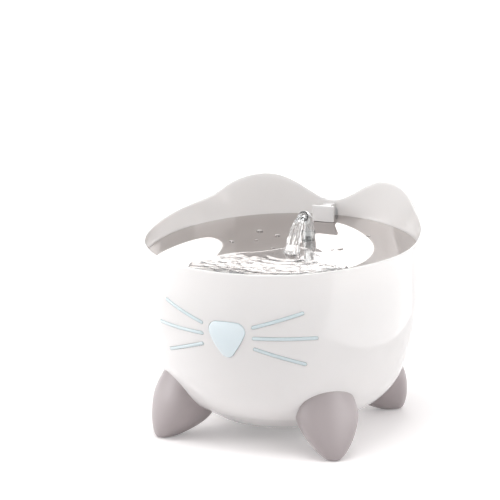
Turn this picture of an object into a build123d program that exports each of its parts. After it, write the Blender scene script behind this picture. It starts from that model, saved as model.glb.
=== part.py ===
from build123d import *

import os
from math import atan2, cos, radians, sin, sqrt

# Round pet water fountain: a moulded bowl with two ears on its rim, a light-up face, four
# ear-shaped feet, a steel drinking dish, a filter cartridge in its tray and a small pump.
# Millimetres, +Z up, origin on the floor under the middle of the bowl, face towards -Y.
# Angles round the bowl run from the face (0) towards +X (90) and the back (180).

# ---- bowl ----
BOWL_R = 122.0            # outer radius at the rim
BOWL_UNDERSIDE_Z = 12.0   # height of the flat underside above the floor
FLOOR_SET_IN = 70.0       # edge of the flat underside, in from the rim
FLOOR_R = BOWL_R - FLOOR_SET_IN
CORNER_R = 20.0           # bend from the underside into the cone
CONE_ANGLE = 30.5         # slope of the cone, from horizontal
CONE_LENGTH = 24.2
BELLY_R = 53.0            # bend from the cone into the belly
BELLY_END_ANGLE = 66.5    # slope where the belly meets the long upper curve
WALL = 2.6
BLANK_TOP_Z = 215.0       # height of the bowl before its rim is cut
LIP_FILLET = 1.1
# Rim height at stations round one half of the bowl: (angle, height).
RIM_STATIONS = (
    (0, 161.5), (30, 162.6), (60, 166.3), (90, 171.4), (106, 177.2), (118, 182.0),
    (126, 186.8), (134, 196.0), (142, 201.6), (150, 203.5), (158, 200.6), (167, 191.2),
    (174, 183.0), (180, 180.0),
)

# ---- drinking dish ----
DISH_Z = 156.0            # height of the dish's edge plane on the bowl's axis
DISH_TILT = 5.0           # the dish slopes down to the front
DISH_SHEET = 1.0
DISH_GAP = 0.9            # gap between the dish's edge and the bowl's wall
DISH_R = BOWL_R - WALL - DISH_GAP
DISH_FLANGE_W = 3.5       # width of the flat flange round the dish
DISH_FLANGE_R = DISH_R - DISH_FLANGE_W
DISH_BEND_R = 80.0        # radius where the dish's curve turns from hollow to crown
DISH_FLAT_R = 40.0        # radius of the flat middle
DISH_DEPTH = 9.0
DRAIN_SLOTS = 9
DRAIN_SLOT_L = 11.0
DRAIN_SLOT_W = 2.6
DRAIN_FROM_EDGE = 18.5    # middle of the drain slots, in from the dish's edge
DRAIN_R = DISH_R - DRAIN_FROM_EDGE
DRAIN_PITCH = 9.0         # degrees between drain slots
LEDGE_SET_BACK = 0.4      # the ledge under the flange stops short of the dish's curve
LEDGE_R = DISH_FLANGE_R + LEDGE_SET_BACK
LEDGE_H = 3.0

# ---- cord duct at the back ----
DUCT_W = 9.0              # outer width of the duct
DUCT_FROM_WALL = 25.5     # face of the cord cover, in from the bowl's outer radius
DUCT_FRONT_Y = BOWL_R - DUCT_FROM_WALL
DUCT_WALL = 1.8
DUCT_GAP = 0.6            # gap between the duct and the dish's notch
DUCT_RIB_D = 14.0         # reach of the cord ribs, in from the bowl's outer radius
DUCT_RIB_BOTTOM_Z = 60.0
COVER_W = 21.0            # upright plate at the front of the duct
COVER_T = 3.2
CORD_HOLE_R = 4.5
CORD_HOLE_Z = DISH_Z + 12.5
DUCT_TOP_Z = CORD_HOLE_Z + 9.5
DUCT_BOTTOM_Z = CORD_HOLE_Z - 17.5
GROMMET_BORE_R = 2.6
GROMMET_FLANGE_R = 6.4
GROMMET_FLANGE_T = DISH_GAP - 0.15   # thinner than the gap, so that the dish lifts past the flange

# ---- spout ----
SPOUT_Y = 61.0
COLLAR_R = 6.3
COLLAR_TOP_Z = DISH_Z + 6.0
COLLAR_FLANGE_R = 9.0
COLLAR_FLANGE_Z = DISH_Z - 13.5
NOZZLE_R = 4.8
NOZZLE_BORE_R = 3.3
NOZZLE_BEND_R = 11.3
NOZZLE_BEND_START_Z = COLLAR_TOP_Z + 3.5
NOZZLE_BEND_ANGLE = 82.0
NOZZLE_BOTTOM_Z = DISH_Z - 3.5
NOZZLE_TIP_L = 3.0
RISER_R = 4.5
RISER_BORE_R = 3.2
RISER_TOP_Z = NOZZLE_BOTTOM_Z - 1.5

# ---- filter ----
TRAY_TOP_Z = 131.0
TRAY_DEPTH = 9.0
TRAY_FLOOR_Z = TRAY_TOP_Z - TRAY_DEPTH
TRAY_SHEET = 2.0
TRAY_SET_IN = 9.0         # edge of the tray's flange, in from the bowl's outer radius
TRAY_FLANGE_R = BOWL_R - TRAY_SET_IN
TRAY_FLANGE_W = 5.0
TRAY_R = TRAY_FLANGE_R - TRAY_FLANGE_W
POCKET_Y = -8.0
POCKET_R = 52.0
POCKET_DEPTH = 16.0
POCKET_FLOOR_Z = TRAY_FLOOR_Z - POCKET_DEPTH
POCKET_SLOTS = 9
POCKET_SLOT_W = 3.0
TRAY_SLEEVE_R = 6.8
TRAY_SLEEVE_TOP_Z = TRAY_TOP_Z + 3.0
TRAY_DUCT_GAP = 2.0       # gap between the tray's notch and the cord ribs
TRAY_RIB_SET_OUT = 1.2    # gap between the tray's wall and the gussets under its flange
TRAY_RIB_T = 3.0
TRAY_RIB_H = 30.0
TRAY_RIB_ANGLES = (30, 75, 120, 160)
CARTRIDGE_H = 16.0
CARTRIDGE_WALL = 1.6
CARBON_H = 7.6

# ---- pump ----
PUMP_W = 42.0
PUMP_BACK_Y = -30.0       # motor end
PUMP_FRONT_Y = 24.0       # intake end
PUMP_BOTTOM_Z = 20.0
PUMP_H = 40.0
PUMP_CORNER_R = 4.0
PUMP_WALL = 2.6
ROTOR_WELL_R = 8.2
ROTOR_WELL_END_Y = -10.0
CHAMBER_R = 15.0
CHAMBER_DEPTH = 10.0
OUTLET_Y = 18.5
OUTLET_BORE_R = 3.2
NIPPLE_R = 4.5
NIPPLE_H = 8.0
SHAFT_R = 1.25
SHAFT_GAP = 0.05
MAGNET_R = 7.8
BLADE_COUNT = 6
BLADE_R = 12.5
BLADE_H = 4.6
BLADE_T = 1.1
GRILLE_DEPTH = 15.0
GRILLE_WALL = 1.8
CHAMBER_COVER_GAP = 1.2   # gap between the chamber cover and the grille's wall
GRILLE_SLOTS = 7
GRILLE_SLOT_H = 2.4
SLIDER_W = 11.0
SLIDER_H = 21.0
SLIDER_T = 1.6
SLIDER_TRAVEL = 9.0
CUP_R = 7.0
HOSE_R = 6.3
HOSE_BEND_R = 14.0
HOSE_BEND_ANGLE = 75.0
HOSE_TOP_Z = TRAY_FLOOR_Z - 17.0
FENCE_GAP = 2.0           # gap between the pump and the low rib round its cups
FENCE_T = 2.0
FENCE_H = 3.5
FENCE_DOOR_W = 24.0       # water gaps in that rib
FENCE_SINK = 0.5

# ---- face ----
# The nose is a triangle with bulging sides, point down, before its corners are rounded.
NOSE_HALF_W = 20.4
NOSE_TOP_Z = 119.9
NOSE_POINT_Z = 85.0
NOSE_TOP_BULGE = 0.8
NOSE_SIDE_BULGE = 1.8
NOSE_SIDE_R = 45.0
NOSE_CORNER_R = 7.5
NOSE_TIP_R = 6.0
NOSE_DOME_R = 70.0        # ball radius of the lens's outer face
NOSE_RIM = 2.6            # width of the step that the lens rests on
NOSE_SINK = 1.5           # depth of that step
NOSE_PROUD = 2.0          # crown of the lens over the bowl's face
WHISKER_W = 2.7
WHISKER_PROUD = 0.7
WHISKER_SINK = 1.2
INLAY_GAP = 0.25
# Whiskers on one side: name, distance round the bowl and height of each end.
WHISKERS = (
    ("upper", 22.0, 117.0, 65.0, 130.5),
    ("middle", 22.0, 108.0, 76.5, 108.5),
    ("lower", 22.0, 99.0, 66.0, 85.3),
)
LIGHT_W = 32.0
LIGHT_H = 33.0
LIGHT_Z = 104.5
LIGHT_DEPTH = 19.0        # back of the light module, in from the bowl's outer radius
LIGHT_BACK_Y = LIGHT_DEPTH - BOWL_R
LIGHT_WALL = 1.8
LIGHT_SEAL_T = 1.0
LIGHT_EAR_L = 8.0
LIGHT_EAR_H = 8.0
LIGHT_BOSS_R = 3.5
LIGHT_BOSS_L = 4.0        # stand-off of the module's ears from the bowl's wall
LIGHT_SCREW_L = 6.0
BOARD_W = 24.0
BOARD_T = 1.6
LAMP_W = 5.0
LAMP_T = 1.4
LAMP_DOME_R = 1.9

# ---- feet ----
FOOT_ANGLES = {"front_right": 45, "rear_right": 135, "rear_left": 225, "front_left": 315}
FOOT_SET_IN = 1.8         # furthest reach of the feet, in from the bowl's outer radius
FOOT_R = BOWL_R - FOOT_SET_IN
# Plan sections of a foot: height, set-back from its furthest reach, half width, and the
# lengths of its outer and its inner half ellipse.
FOOT_SECTIONS = (
    (0.4, 2.8, 6.0, 6.4, 12.7),
    (3.0, 1.3, 9.2, 8.0, 20.0),
    (8.0, 0.4, 13.8, 10.2, 30.0),
    (16.0, 0.0, 19.3, 13.2, 38.5),
    (26.0, 1.0, 24.0, 15.5, 41.0),
    (37.0, 3.4, 25.8, 15.0, 42.0),
    (48.0, 7.8, 23.6, 14.0, 43.0),
    (58.0, 13.0, 20.0, 13.0, 45.0),
    (66.0, 17.8, 17.0, 12.5, 46.5),
)
FOOT_SCREW_SET_IN = 26.0  # foot screws, in from the foot's furthest reach
FOOT_SCREW_R = FOOT_R - FOOT_SCREW_SET_IN
FOOT_BOSS_R = 4.0
FOOT_BOSS_Z = 22.0
FOOT_BOSS_TOP_Z = 60.0    # the bosses end inside the wall below this height
FOOT_WEB_T = 3.2
SCREW_R = 1.5
SCREW_HEAD_R = 2.8
SCREW_HEAD_H = 2.0
SCREW_L = 9.0
SCREW_CLEAR = 0.2
FOOT_WELL_GAP = 0.7       # gap round a foot screw's head in its well
PAD_R = 4.2
PAD_T = 2.6
PAD_SET_IN = 11.2         # middle of a rubber pad, in from the foot's furthest reach
PAD_FROM_AXIS = FOOT_R - PAD_SET_IN

FIT = 0.05                # gap between pieces pushed together
RUN = 0.3                 # gap between pieces that move past each other


# ---------------------------------------------------------------- helpers

def polar(angle, radius, z=0.0):
    """Point at an angle round the bowl from the face, at a radius and a height."""
    return Vector(radius * sin(radians(angle)), -radius * cos(radians(angle)), z)


def centre_arc(centre, radius, start, end):
    """Arc in a profile plane; angles are from straight down, towards +X."""
    def at(angle):
        return (centre[0] + radius * sin(radians(angle)), centre[1] - radius * cos(radians(angle)))
    return ThreePointArc(at(start), at((start + end) / 2), at(end))


def bowl_centres():
    """Centres and radii of the arcs of the bowl's outer profile."""
    a, b = radians(CONE_ANGLE), radians(BELLY_END_ANGLE)
    c1 = (FLOOR_R, BOWL_UNDERSIDE_Z + CORNER_R)
    cone_end = (c1[0] + CORNER_R * sin(a) + CONE_LENGTH * cos(a),
                c1[1] - CORNER_R * cos(a) + CONE_LENGTH * sin(a))
    c2 = (cone_end[0] - BELLY_R * sin(a), cone_end[1] + BELLY_R * cos(a))
    belly_end = (c2[0] + BELLY_R * sin(b), c2[1] - BELLY_R * cos(b))
    upper_r = (BOWL_R - belly_end[0]) / (1 - sin(b))
    c3 = (BOWL_R - upper_r, belly_end[1] + upper_r * cos(b))
    return c1, c2, c3, upper_r


def bowl_body(inset, top_z=BLANK_TOP_Z):
    """Solid of revolution inside the bowl's outer face moved inwards by inset."""
    c1, c2, c3, upper_r = bowl_centres()
    arcs = [
        centre_arc(c1, CORNER_R - inset, 0, CONE_ANGLE),
        centre_arc(c2, BELLY_R - inset, CONE_ANGLE, BELLY_END_ANGLE),
        centre_arc(c3, upper_r - inset, BELLY_END_ANGLE, 90),
    ]
    lines = [
        Line((0, BOWL_UNDERSIDE_Z + inset), arcs[0] @ 0),
        Line(arcs[0] @ 1, arcs[1] @ 0),
        Line(arcs[2] @ 1, (BOWL_R - inset, top_z)),
        Line((BOWL_R - inset, top_z), (0, top_z)),
        Line((0, top_z), (0, BOWL_UNDERSIDE_Z + inset)),
    ]
    return revolve(Plane.XZ * make_face(arcs + lines), Axis.Z)


def bowl_radius(z, inset=0.0):
    """Radius of the bowl's outer face, moved inwards by inset, on the long upper curve."""
    c3, upper_r = bowl_centres()[2:]
    if z >= c3[1]:
        return BOWL_R - inset
    return c3[0] + sqrt((upper_r - inset) ** 2 - (c3[1] - z) ** 2)


def along_y(sketch, start_y, end_y):
    """Prism of an X-Z sketch between two Y positions."""
    return extrude(Plane((0, start_y, 0), x_dir=(1, 0, 0), z_dir=(0, -1, 0)) * sketch,
                   amount=start_y - end_y)


def disc_y(radius, start_y, end_y, x=0.0, z=0.0):
    """Cylinder along Y between two Y positions."""
    return Pos(x, (start_y + end_y) / 2, z) * Rot(90, 0, 0) * Cylinder(radius, abs(end_y - start_y))


def disc_z(radius, low_z, high_z, x=0.0, y=0.0):
    """Cylinder along Z between two heights."""
    return Pos(x, y, (low_z + high_z) / 2) * Cylinder(radius, high_z - low_z)


def block(x, y, z):
    """Box from three (low, high) pairs."""
    return (Pos(sum(x) / 2, sum(y) / 2, sum(z) / 2)
            * Box(x[1] - x[0], y[1] - y[0], z[1] - z[0]))


def to_foot(angle):
    """Location whose +X points out from the bowl's axis at an angle round the bowl."""
    return Location((0, 0, 0), (0, 0, angle - 90))


# ---------------------------------------------------------------- bowl

def rim_cutter():
    """Solid above the rim line, ruled outwards from the bowl's axis."""
    half = [(a, z) for a, z in RIM_STATIONS]
    stations = half + [(360 - a, z) for a, z in reversed(half[1:-1])]
    inner = Spline([polar(a, BOWL_R - 30, z) for a, z in stations], periodic=True)
    outer = Spline([polar(a, BOWL_R + 30, z) for a, z in stations], periodic=True)
    surface = Face.make_surface_from_curves(inner.edge(), outer.edge())
    return extrude(surface, amount=BLANK_TOP_Z - BOWL_UNDERSIDE_Z, dir=(0, 0, 1))


def dish_frame():
    """Location of the dish's tilted edge plane."""
    return Location((0, 0, DISH_Z), (DISH_TILT, 0, 0))


def dish_ledge():
    """Sloping step inside the wall that the dish's flange rests on."""
    out = 2 * BOWL_R
    face = make_face(Polyline(
        (LEDGE_R, -DISH_SHEET), (out, -DISH_SHEET), (out, -DISH_SHEET - 3 * LEDGE_H),
        (BOWL_R - WALL, -DISH_SHEET - 3 * LEDGE_H), (LEDGE_R, -DISH_SHEET - LEDGE_H), close=True))
    ring = dish_frame() * revolve(Plane.XZ * face, Axis.Z)
    half = DUCT_W / 2 + TRAY_DUCT_GAP
    notch = block((-half, half), (0, BOWL_R), (0, BLANK_TOP_Z))
    return (ring & bowl_body(WALL / 2)) - notch


def tray_ribs():
    """Gussets inside the wall that carry the filter tray."""
    top_z = TRAY_TOP_Z - TRAY_SHEET
    face = make_face(Polyline(
        (TRAY_R + TRAY_RIB_SET_OUT, top_z), (BOWL_R, top_z), (BOWL_R, top_z - TRAY_RIB_H), close=True))
    gusset = extrude(Plane.XZ * face, amount=TRAY_RIB_T / 2, both=True)
    inside = bowl_body(WALL / 2)
    ribs = []
    for angle in TRAY_RIB_ANGLES:
        for side in (angle, 360 - angle):
            ribs.append((to_foot(side) * gusset) & inside)
    return ribs


def duct_ribs():
    """Two upright ribs on the back wall that guide the cord up to its duct."""
    inside = bowl_body(WALL / 2)
    ribs = []
    for side in (-1, 1):
        x = sorted((side * (DUCT_W / 2), side * (DUCT_W / 2 - DUCT_WALL)))
        rib = block(x, (BOWL_R - DUCT_RIB_D, BOWL_R), (DUCT_RIB_BOTTOM_Z, DUCT_BOTTOM_Z))
        ribs.append(rib & inside)
    return ribs


def pump_fence():
    """Low rib on the bowl's floor round the pump's suction cups, with water gaps in it."""
    floor_z = BOWL_UNDERSIDE_Z + WALL
    middle_y = (PUMP_BACK_Y + PUMP_FRONT_Y) / 2
    length = PUMP_FRONT_Y - PUMP_BACK_Y
    outer_gap = 2 * (FENCE_GAP + FENCE_T)
    corner = 2 * PUMP_CORNER_R
    outer = RectangleRounded(PUMP_W + outer_gap, length + outer_gap, corner)
    inner = RectangleRounded(PUMP_W + 2 * FENCE_GAP, length + 2 * FENCE_GAP, corner - FENCE_T)
    fence = extrude(Pos(0, middle_y, floor_z - FENCE_SINK) * (outer - inner), amount=FENCE_H + FENCE_SINK)
    door = (-FENCE_DOOR_W / 2, FENCE_DOOR_W / 2)
    across = (-BOWL_R, BOWL_R)
    above = (floor_z, floor_z + BOWL_R)
    doors = block(door, across, above) + block(across, (middle_y + door[0], middle_y + door[1]), above)
    return fence - doors


def foot_bosses():
    """Bosses under the bowl that the foot screws enter."""
    bosses = []
    for angle in FOOT_ANGLES.values():
        boss = disc_z(FOOT_BOSS_R, FOOT_BOSS_Z, FOOT_BOSS_TOP_Z, x=FOOT_SCREW_R)
        bosses.append(to_foot(angle) * boss)
    return bosses


def light_bosses():
    """Two bosses behind the face that the light module is screwed to."""
    inside = bowl_body(WALL / 2)
    return [disc_y(LIGHT_BOSS_R, light_ear_y(), -BOWL_R, x=side * light_screw_x(), z=LIGHT_Z) & inside
            for side in (-1, 1)]


def housing():
    """Moulded bowl with ears, ledges, ribs, bosses and the seats of the face inlays."""
    shell = bowl_body(0) - bowl_body(WALL, BLANK_TOP_Z + 2)
    for boss in foot_bosses():
        shell += boss
    shell -= bowl_body(WALL, BLANK_TOP_Z + 2)
    shell -= rim_cutter()
    rim = [e for e in shell.edges() if e.bounding_box().max.Z > 200]
    shell = fillet(rim, LIP_FILLET)
    for piece in [dish_ledge(), pump_fence()] + tray_ribs() + duct_ribs() + light_bosses():
        shell += piece
    shell -= disc_y(CORD_HOLE_R + FIT, BOWL_R - 10, BOWL_R + 10, z=CORD_HOLE_Z)
    recess_y = BOWL_R - GROMMET_FLANGE_T
    shell -= disc_y(GROMMET_FLANGE_R + FIT, recess_y, BOWL_R + 10, z=CORD_HOLE_Z)
    shell -= nose_prism(INLAY_GAP) - bowl_body(NOSE_SINK)
    shell -= nose_prism(INLAY_GAP - NOSE_RIM)
    for prism in whisker_prisms(INLAY_GAP).values():
        shell -= prism - bowl_body(WHISKER_SINK)
    for angle in FOOT_ANGLES.values():
        pilot = disc_z(SCREW_R, FOOT_BOSS_Z - 1, FOOT_BOSS_Z + SCREW_L - FOOT_WEB_T + 1, x=FOOT_SCREW_R)
        shell -= to_foot(angle) * pilot
    for side in (-1, 1):
        shell -= disc_y(SCREW_R, light_ear_y() + 1, light_ear_y() - LIGHT_SCREW_L + LIGHT_WALL - 0.4,
                        x=side * light_screw_x(), z=LIGHT_Z)
    return shell


def grommet_inner_y():
    """Seat of the grommet's inner flange on the back wall."""
    wall_r = bowl_radius(CORD_HOLE_Z - GROMMET_FLANGE_R, WALL)
    return sqrt(wall_r ** 2 - GROMMET_FLANGE_R ** 2) - 2 * FIT


def cord_grommet():
    """Rubber grommet in the back wall, flush outside."""
    inner_y = grommet_inner_y()
    recess_y = BOWL_R - GROMMET_FLANGE_T
    body = disc_y(CORD_HOLE_R, inner_y - 0.5, recess_y + 0.5, z=CORD_HOLE_Z)
    body += disc_y(GROMMET_FLANGE_R, inner_y - GROMMET_FLANGE_T, inner_y, z=CORD_HOLE_Z)
    body += disc_y(GROMMET_FLANGE_R, recess_y + FIT, BOWL_R, z=CORD_HOLE_Z)
    body -= disc_y(GROMMET_BORE_R, inner_y - 10, BOWL_R + 10, z=CORD_HOLE_Z)
    return body & bowl_body(0)


def cord_cover():
    """Lift-off cord duct: an upright plate that stands on the dish, with a narrow duct behind it."""
    half = COVER_W / 2
    plate = block((-half, half), (DUCT_FRONT_Y, DUCT_FRONT_Y + COVER_T), (DUCT_BOTTOM_Z, DUCT_TOP_Z))
    plate = fillet(plate.edges().filter_by(Axis.Z), COVER_T / 3)
    plate = fillet(plate.faces().sort_by(Axis.Z)[-1].edges(), COVER_T / 4)
    plate &= dish_above(RUN)
    half = DUCT_W / 2
    back_y = grommet_inner_y() - GROMMET_FLANGE_T - RUN
    duct = block((-half, half), (DUCT_FRONT_Y + COVER_T / 2, back_y),
                 (DUCT_BOTTOM_Z, DUCT_TOP_Z - COVER_T / 4))
    half -= DUCT_WALL
    hollow = block((-half, half), (DUCT_FRONT_Y + COVER_T, 2 * BOWL_R),
                   (DUCT_BOTTOM_Z - 1, DUCT_TOP_Z - COVER_T / 4 - DUCT_WALL))
    return ((plate + duct) & bowl_body(WALL + RUN)) - hollow


# ---------------------------------------------------------------- face

def nose_outline(grow):
    """Rounded triangle with bulging sides, point down, grown all round by a distance."""
    half_w, middle_z = NOSE_HALF_W / 2 + NOSE_SIDE_BULGE, (NOSE_TOP_Z + NOSE_POINT_Z) / 2
    triangle = make_face(Polyline(
        (-NOSE_HALF_W, NOSE_TOP_Z), (-half_w, middle_z), (0, NOSE_POINT_Z), (half_w, middle_z),
        (NOSE_HALF_W, NOSE_TOP_Z), (0, NOSE_TOP_Z + NOSE_TOP_BULGE), close=True))
    corners = triangle.vertices().sort_by(Axis.Y)
    shape = fillet(corners[3:5], NOSE_CORNER_R)
    sides = shape.vertices().filter_by_position(Axis.Y, middle_z - 1, middle_z + 1)
    shape = fillet(sides, NOSE_SIDE_R)
    tip = shape.vertices().sort_by(Axis.Y)[0]
    shape = fillet(tip, NOSE_TIP_R)
    return offset(shape, grow) if grow else shape


def nose_prism(grow):
    """Nose outline driven through the front wall."""
    return along_y(nose_outline(grow), -BOWL_R + 22, -BOWL_R - 10)


def nose_lens():
    """Clear nose: a domed flange in its step and a plug through the wall."""
    z = (NOSE_TOP_Z + NOSE_POINT_Z) / 2
    lean = atan2(bowl_radius(z + 1) - bowl_radius(z - 1), 2)
    depth = NOSE_DOME_R - NOSE_PROUD
    dome = Pos(0, depth * cos(lean) - bowl_radius(z), z + depth * sin(lean)) * Sphere(NOSE_DOME_R)
    flange = (nose_prism(0) & dome) - bowl_body(NOSE_SINK)
    plug = (nose_prism(-NOSE_RIM) & bowl_body(NOSE_SINK)) - bowl_body(WALL)
    return flange + plug


def whisker_prisms(grow):
    """Six slot-ended bars driven through the wall, by name."""
    prisms = {}
    for name, s1, z1, s2, z2 in WHISKERS:
        for side_name, side in (("right", 1), ("left", -1)):
            r = bowl_radius((z1 + z2) / 2)
            ends = [(side * s / r * 57.2958, z) for s, z in ((s1, z1), (s2, z2))]
            middle = (ends[0][0] + ends[1][0]) / 2
            normal = polar(middle, 1.0)
            plane = Plane(polar(middle, r - 14), x_dir=(-normal.Y, normal.X, 0), z_dir=normal)
            local = [plane.to_local_coords(polar(a, r, z)) for a, z in ends]
            bar = SlotCenterToCenter(sqrt((local[1].X - local[0].X) ** 2 + (local[1].Y - local[0].Y) ** 2)
                                     - WHISKER_W, WHISKER_W + 2 * grow)
            along = (local[1] - local[0]).get_signed_angle(Vector(1, 0, 0), Vector(0, 0, -1))
            centre = (local[0] + local[1]) * 0.5
            sketch = Location((centre.X, centre.Y, 0), (0, 0, along)) * bar
            prisms[f"{side_name}_{name}_whisker"] = extrude(plane * sketch, amount=24)
    return prisms


def whiskers():
    """Raised whisker inlays, by node name."""
    outer, inner = bowl_body(-WHISKER_PROUD), bowl_body(WHISKER_SINK)
    return {name: (prism & outer) - inner for name, prism in whisker_prisms(0).items()}


def light_screw_x():
    return LIGHT_W / 2 + LIGHT_EAR_L / 2


def light_ear_y():
    """Face of the light module's ears that meets the bosses."""
    return -sqrt(bowl_radius(LIGHT_Z, WALL) ** 2 - light_screw_x() ** 2) + LIGHT_BOSS_L


def light_prism(grow, start_y=LIGHT_BACK_Y):
    outline = Pos(0, LIGHT_Z) * RectangleRounded(LIGHT_W + 2 * grow, LIGHT_H + 2 * grow, 6 + grow)
    return along_y(outline, start_y, -BOWL_R - 5)


def light_housing():
    """Sealed capsule behind the nose, open at its back."""
    front = WALL + LIGHT_SEAL_T
    body = light_prism(0) & bowl_body(front)
    for side in (-1, 1):
        x = sorted((side * (LIGHT_W / 2 - 1), side * (LIGHT_W / 2 + LIGHT_EAR_L)))
        ear = block(x, (light_ear_y(), light_ear_y() + LIGHT_WALL),
                    (LIGHT_Z - LIGHT_EAR_H / 2, LIGHT_Z + LIGHT_EAR_H / 2))
        body += ear
    body -= light_prism(-LIGHT_WALL, LIGHT_BACK_Y + 1) & bowl_body(front + LIGHT_WALL)
    for side in (-1, 1):
        body -= disc_y(SCREW_R + SCREW_CLEAR, light_ear_y() - 2, light_ear_y() + 4,
                       x=side * light_screw_x(), z=LIGHT_Z)
    return body


def light_seal():
    """Gasket between the capsule and the bowl's inner face."""
    ring = light_prism(0) - light_prism(-LIGHT_WALL)
    return (ring & bowl_body(WALL)) - bowl_body(WALL + LIGHT_SEAL_T)


def light_parts():
    """Back cover, circuit board and lamp of the light module."""
    outline = Pos(0, LIGHT_Z) * RectangleRounded(LIGHT_W, LIGHT_H, 6)
    plug = Pos(0, LIGHT_Z) * RectangleRounded(LIGHT_W - 2 * (LIGHT_WALL + FIT),
                                              LIGHT_H - 2 * (LIGHT_WALL + FIT), 4.3)
    cover = along_y(outline, LIGHT_BACK_Y + LIGHT_WALL, LIGHT_BACK_Y)
    cover += along_y(plug, LIGHT_BACK_Y, LIGHT_BACK_Y - LIGHT_WALL)
    board_y = LIGHT_BACK_Y - LIGHT_WALL
    board = along_y(Pos(0, LIGHT_Z) * RectangleRounded(BOARD_W, BOARD_W, 2), board_y, board_y - BOARD_T)
    lamp_y = board_y - BOARD_T
    lamp = along_y(Pos(0, LIGHT_Z) * Rectangle(LAMP_W, LAMP_W), lamp_y, lamp_y - LAMP_T)
    dome = Pos(0, lamp_y - LAMP_T, LIGHT_Z) * Sphere(LAMP_DOME_R)
    dome &= along_y(Pos(0, LIGHT_Z) * Rectangle(LAMP_W, LAMP_W), lamp_y - LAMP_T, lamp_y - LAMP_T - LAMP_W)
    return {"light_back_cover": cover, "light_board": board, "nose_light": lamp + dome}


def screw(length):
    """Pan-head screw along Z, its head resting on z = 0 and its shank going up."""
    head = Pos(0, 0, -SCREW_HEAD_H / 2) * Cylinder(SCREW_HEAD_R, SCREW_HEAD_H)
    head = fillet(head.faces().sort_by(Axis.Z)[0].edges(), 0.8)
    shank = disc_z(SCREW_R - FIT, 0, length - 1)
    shank += Pos(0, 0, length - 0.5) * Cone(SCREW_R - FIT, SCREW_R / 2, 1)
    recess = extrude(Pos(0, 0, -SCREW_HEAD_H) * (Rectangle(3.2, 0.8) + Rectangle(0.8, 3.2)), amount=1.2)
    return head + shank - recess


def light_screws():
    """Two screws that hold the light module."""
    y = light_ear_y() + LIGHT_WALL
    return [Pos(side * light_screw_x(), y, LIGHT_Z) * Rot(90, 0, 0) * screw(LIGHT_SCREW_L)
            for side in (-1, 1)]


# ---------------------------------------------------------------- feet

def foot_section(z, set_back, half_w, ahead, behind):
    """Egg-shaped plan section of a foot that reaches out along +X."""
    outer = EllipticalCenterArc((0, 0), ahead, half_w, start_angle=-90, arc_size=180)
    inner = EllipticalCenterArc((0, 0), behind, half_w, start_angle=90, arc_size=180)
    return Pos(FOOT_R - set_back - ahead, 0, z) * make_face([outer, inner])


def foot():
    """One ear-shaped foot, reaching out along +X, hollowed for its screw and its pad."""
    body = loft([foot_section(*row) for row in FOOT_SECTIONS])
    body -= bowl_body(0)
    top_z = FOOT_BOSS_TOP_Z
    body -= disc_z(FOOT_BOSS_R + SCREW_CLEAR, FOOT_BOSS_Z, top_z, x=FOOT_SCREW_R)
    body -= disc_z(SCREW_R + SCREW_CLEAR, 0, top_z, x=FOOT_SCREW_R)
    body -= disc_z(SCREW_HEAD_R + FOOT_WELL_GAP, -1, FOOT_BOSS_Z - FOOT_WEB_T, x=FOOT_SCREW_R)
    body -= disc_z(PAD_R + FIT, -1, PAD_T, x=PAD_FROM_AXIS)
    return body


def foot_pad():
    """Rubber pad let into the foot's tip; its flat lower face is on the floor."""
    pad = disc_z(PAD_R, 0, PAD_T, x=PAD_FROM_AXIS)
    return fillet(pad.faces().sort_by(Axis.Z)[0].edges(), 0.4)


def foot_screws():
    """Four screws from below, through the feet into the bowl's bosses."""
    one = Pos(FOOT_SCREW_R, 0, FOOT_BOSS_Z - FOOT_WEB_T) * screw(SCREW_L)
    return [to_foot(angle) * one for angle in FOOT_ANGLES.values()]


# ---------------------------------------------------------------- dish and spout

def dish_curve(lift):
    """Upper or lower line of the dish's half section, raised by lift."""
    rise = DISH_DEPTH / ((DISH_BEND_R - DISH_FLAT_R) + (DISH_FLANGE_R - DISH_BEND_R)) * 2
    bend_z = -DISH_DEPTH + rise * (DISH_BEND_R - DISH_FLAT_R) / 2
    return Spline((DISH_FLAT_R, lift - DISH_DEPTH), (DISH_BEND_R, lift + bend_z), (DISH_FLANGE_R, lift),
                  tangents=((1, 0), (1, 0)))


def dish():
    """Pressed steel dish with a rounded edge, cord notch, spout hole and drain slots."""
    upper, lower = dish_curve(0), dish_curve(-DISH_SHEET)
    r, t = DISH_R, DISH_SHEET
    section = make_face([
        Line((0, -DISH_DEPTH), upper @ 0), upper,
        Line(upper @ 1, (r - t / 2, 0)), ThreePointArc((r - t / 2, 0), (r, -t / 2), (r - t / 2, -t)),
        Line((r - t / 2, -t), lower @ 1), lower, Line(lower @ 0, (0, -DISH_DEPTH - t)),
        Line((0, -DISH_DEPTH - t), (0, -DISH_DEPTH)),
    ])
    body = revolve(Plane.XZ * section, Axis.Z)
    for i in range(DRAIN_SLOTS):
        angle = (i - (DRAIN_SLOTS - 1) / 2) * DRAIN_PITCH
        slot = SlotOverall(DRAIN_SLOT_L, DRAIN_SLOT_W)
        place = polar(angle, DRAIN_R)
        body -= extrude(Location((place.X, place.Y, -20), (0, 0, angle)) * slot, amount=30)
    body = dish_frame() * body
    half = DUCT_W / 2 + DUCT_GAP
    notch = block((-half, half), (DUCT_FRONT_Y + COVER_T / 2 - DUCT_GAP, 2 * BOWL_R), (0, BLANK_TOP_Z))
    notch = fillet(notch.edges().filter_by(Axis.Z).group_by(Axis.Y)[0], 2 * DUCT_GAP)
    body -= notch
    return body - disc_z(COLLAR_R + FIT, 0, BLANK_TOP_Z, y=SPOUT_Y)


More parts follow.
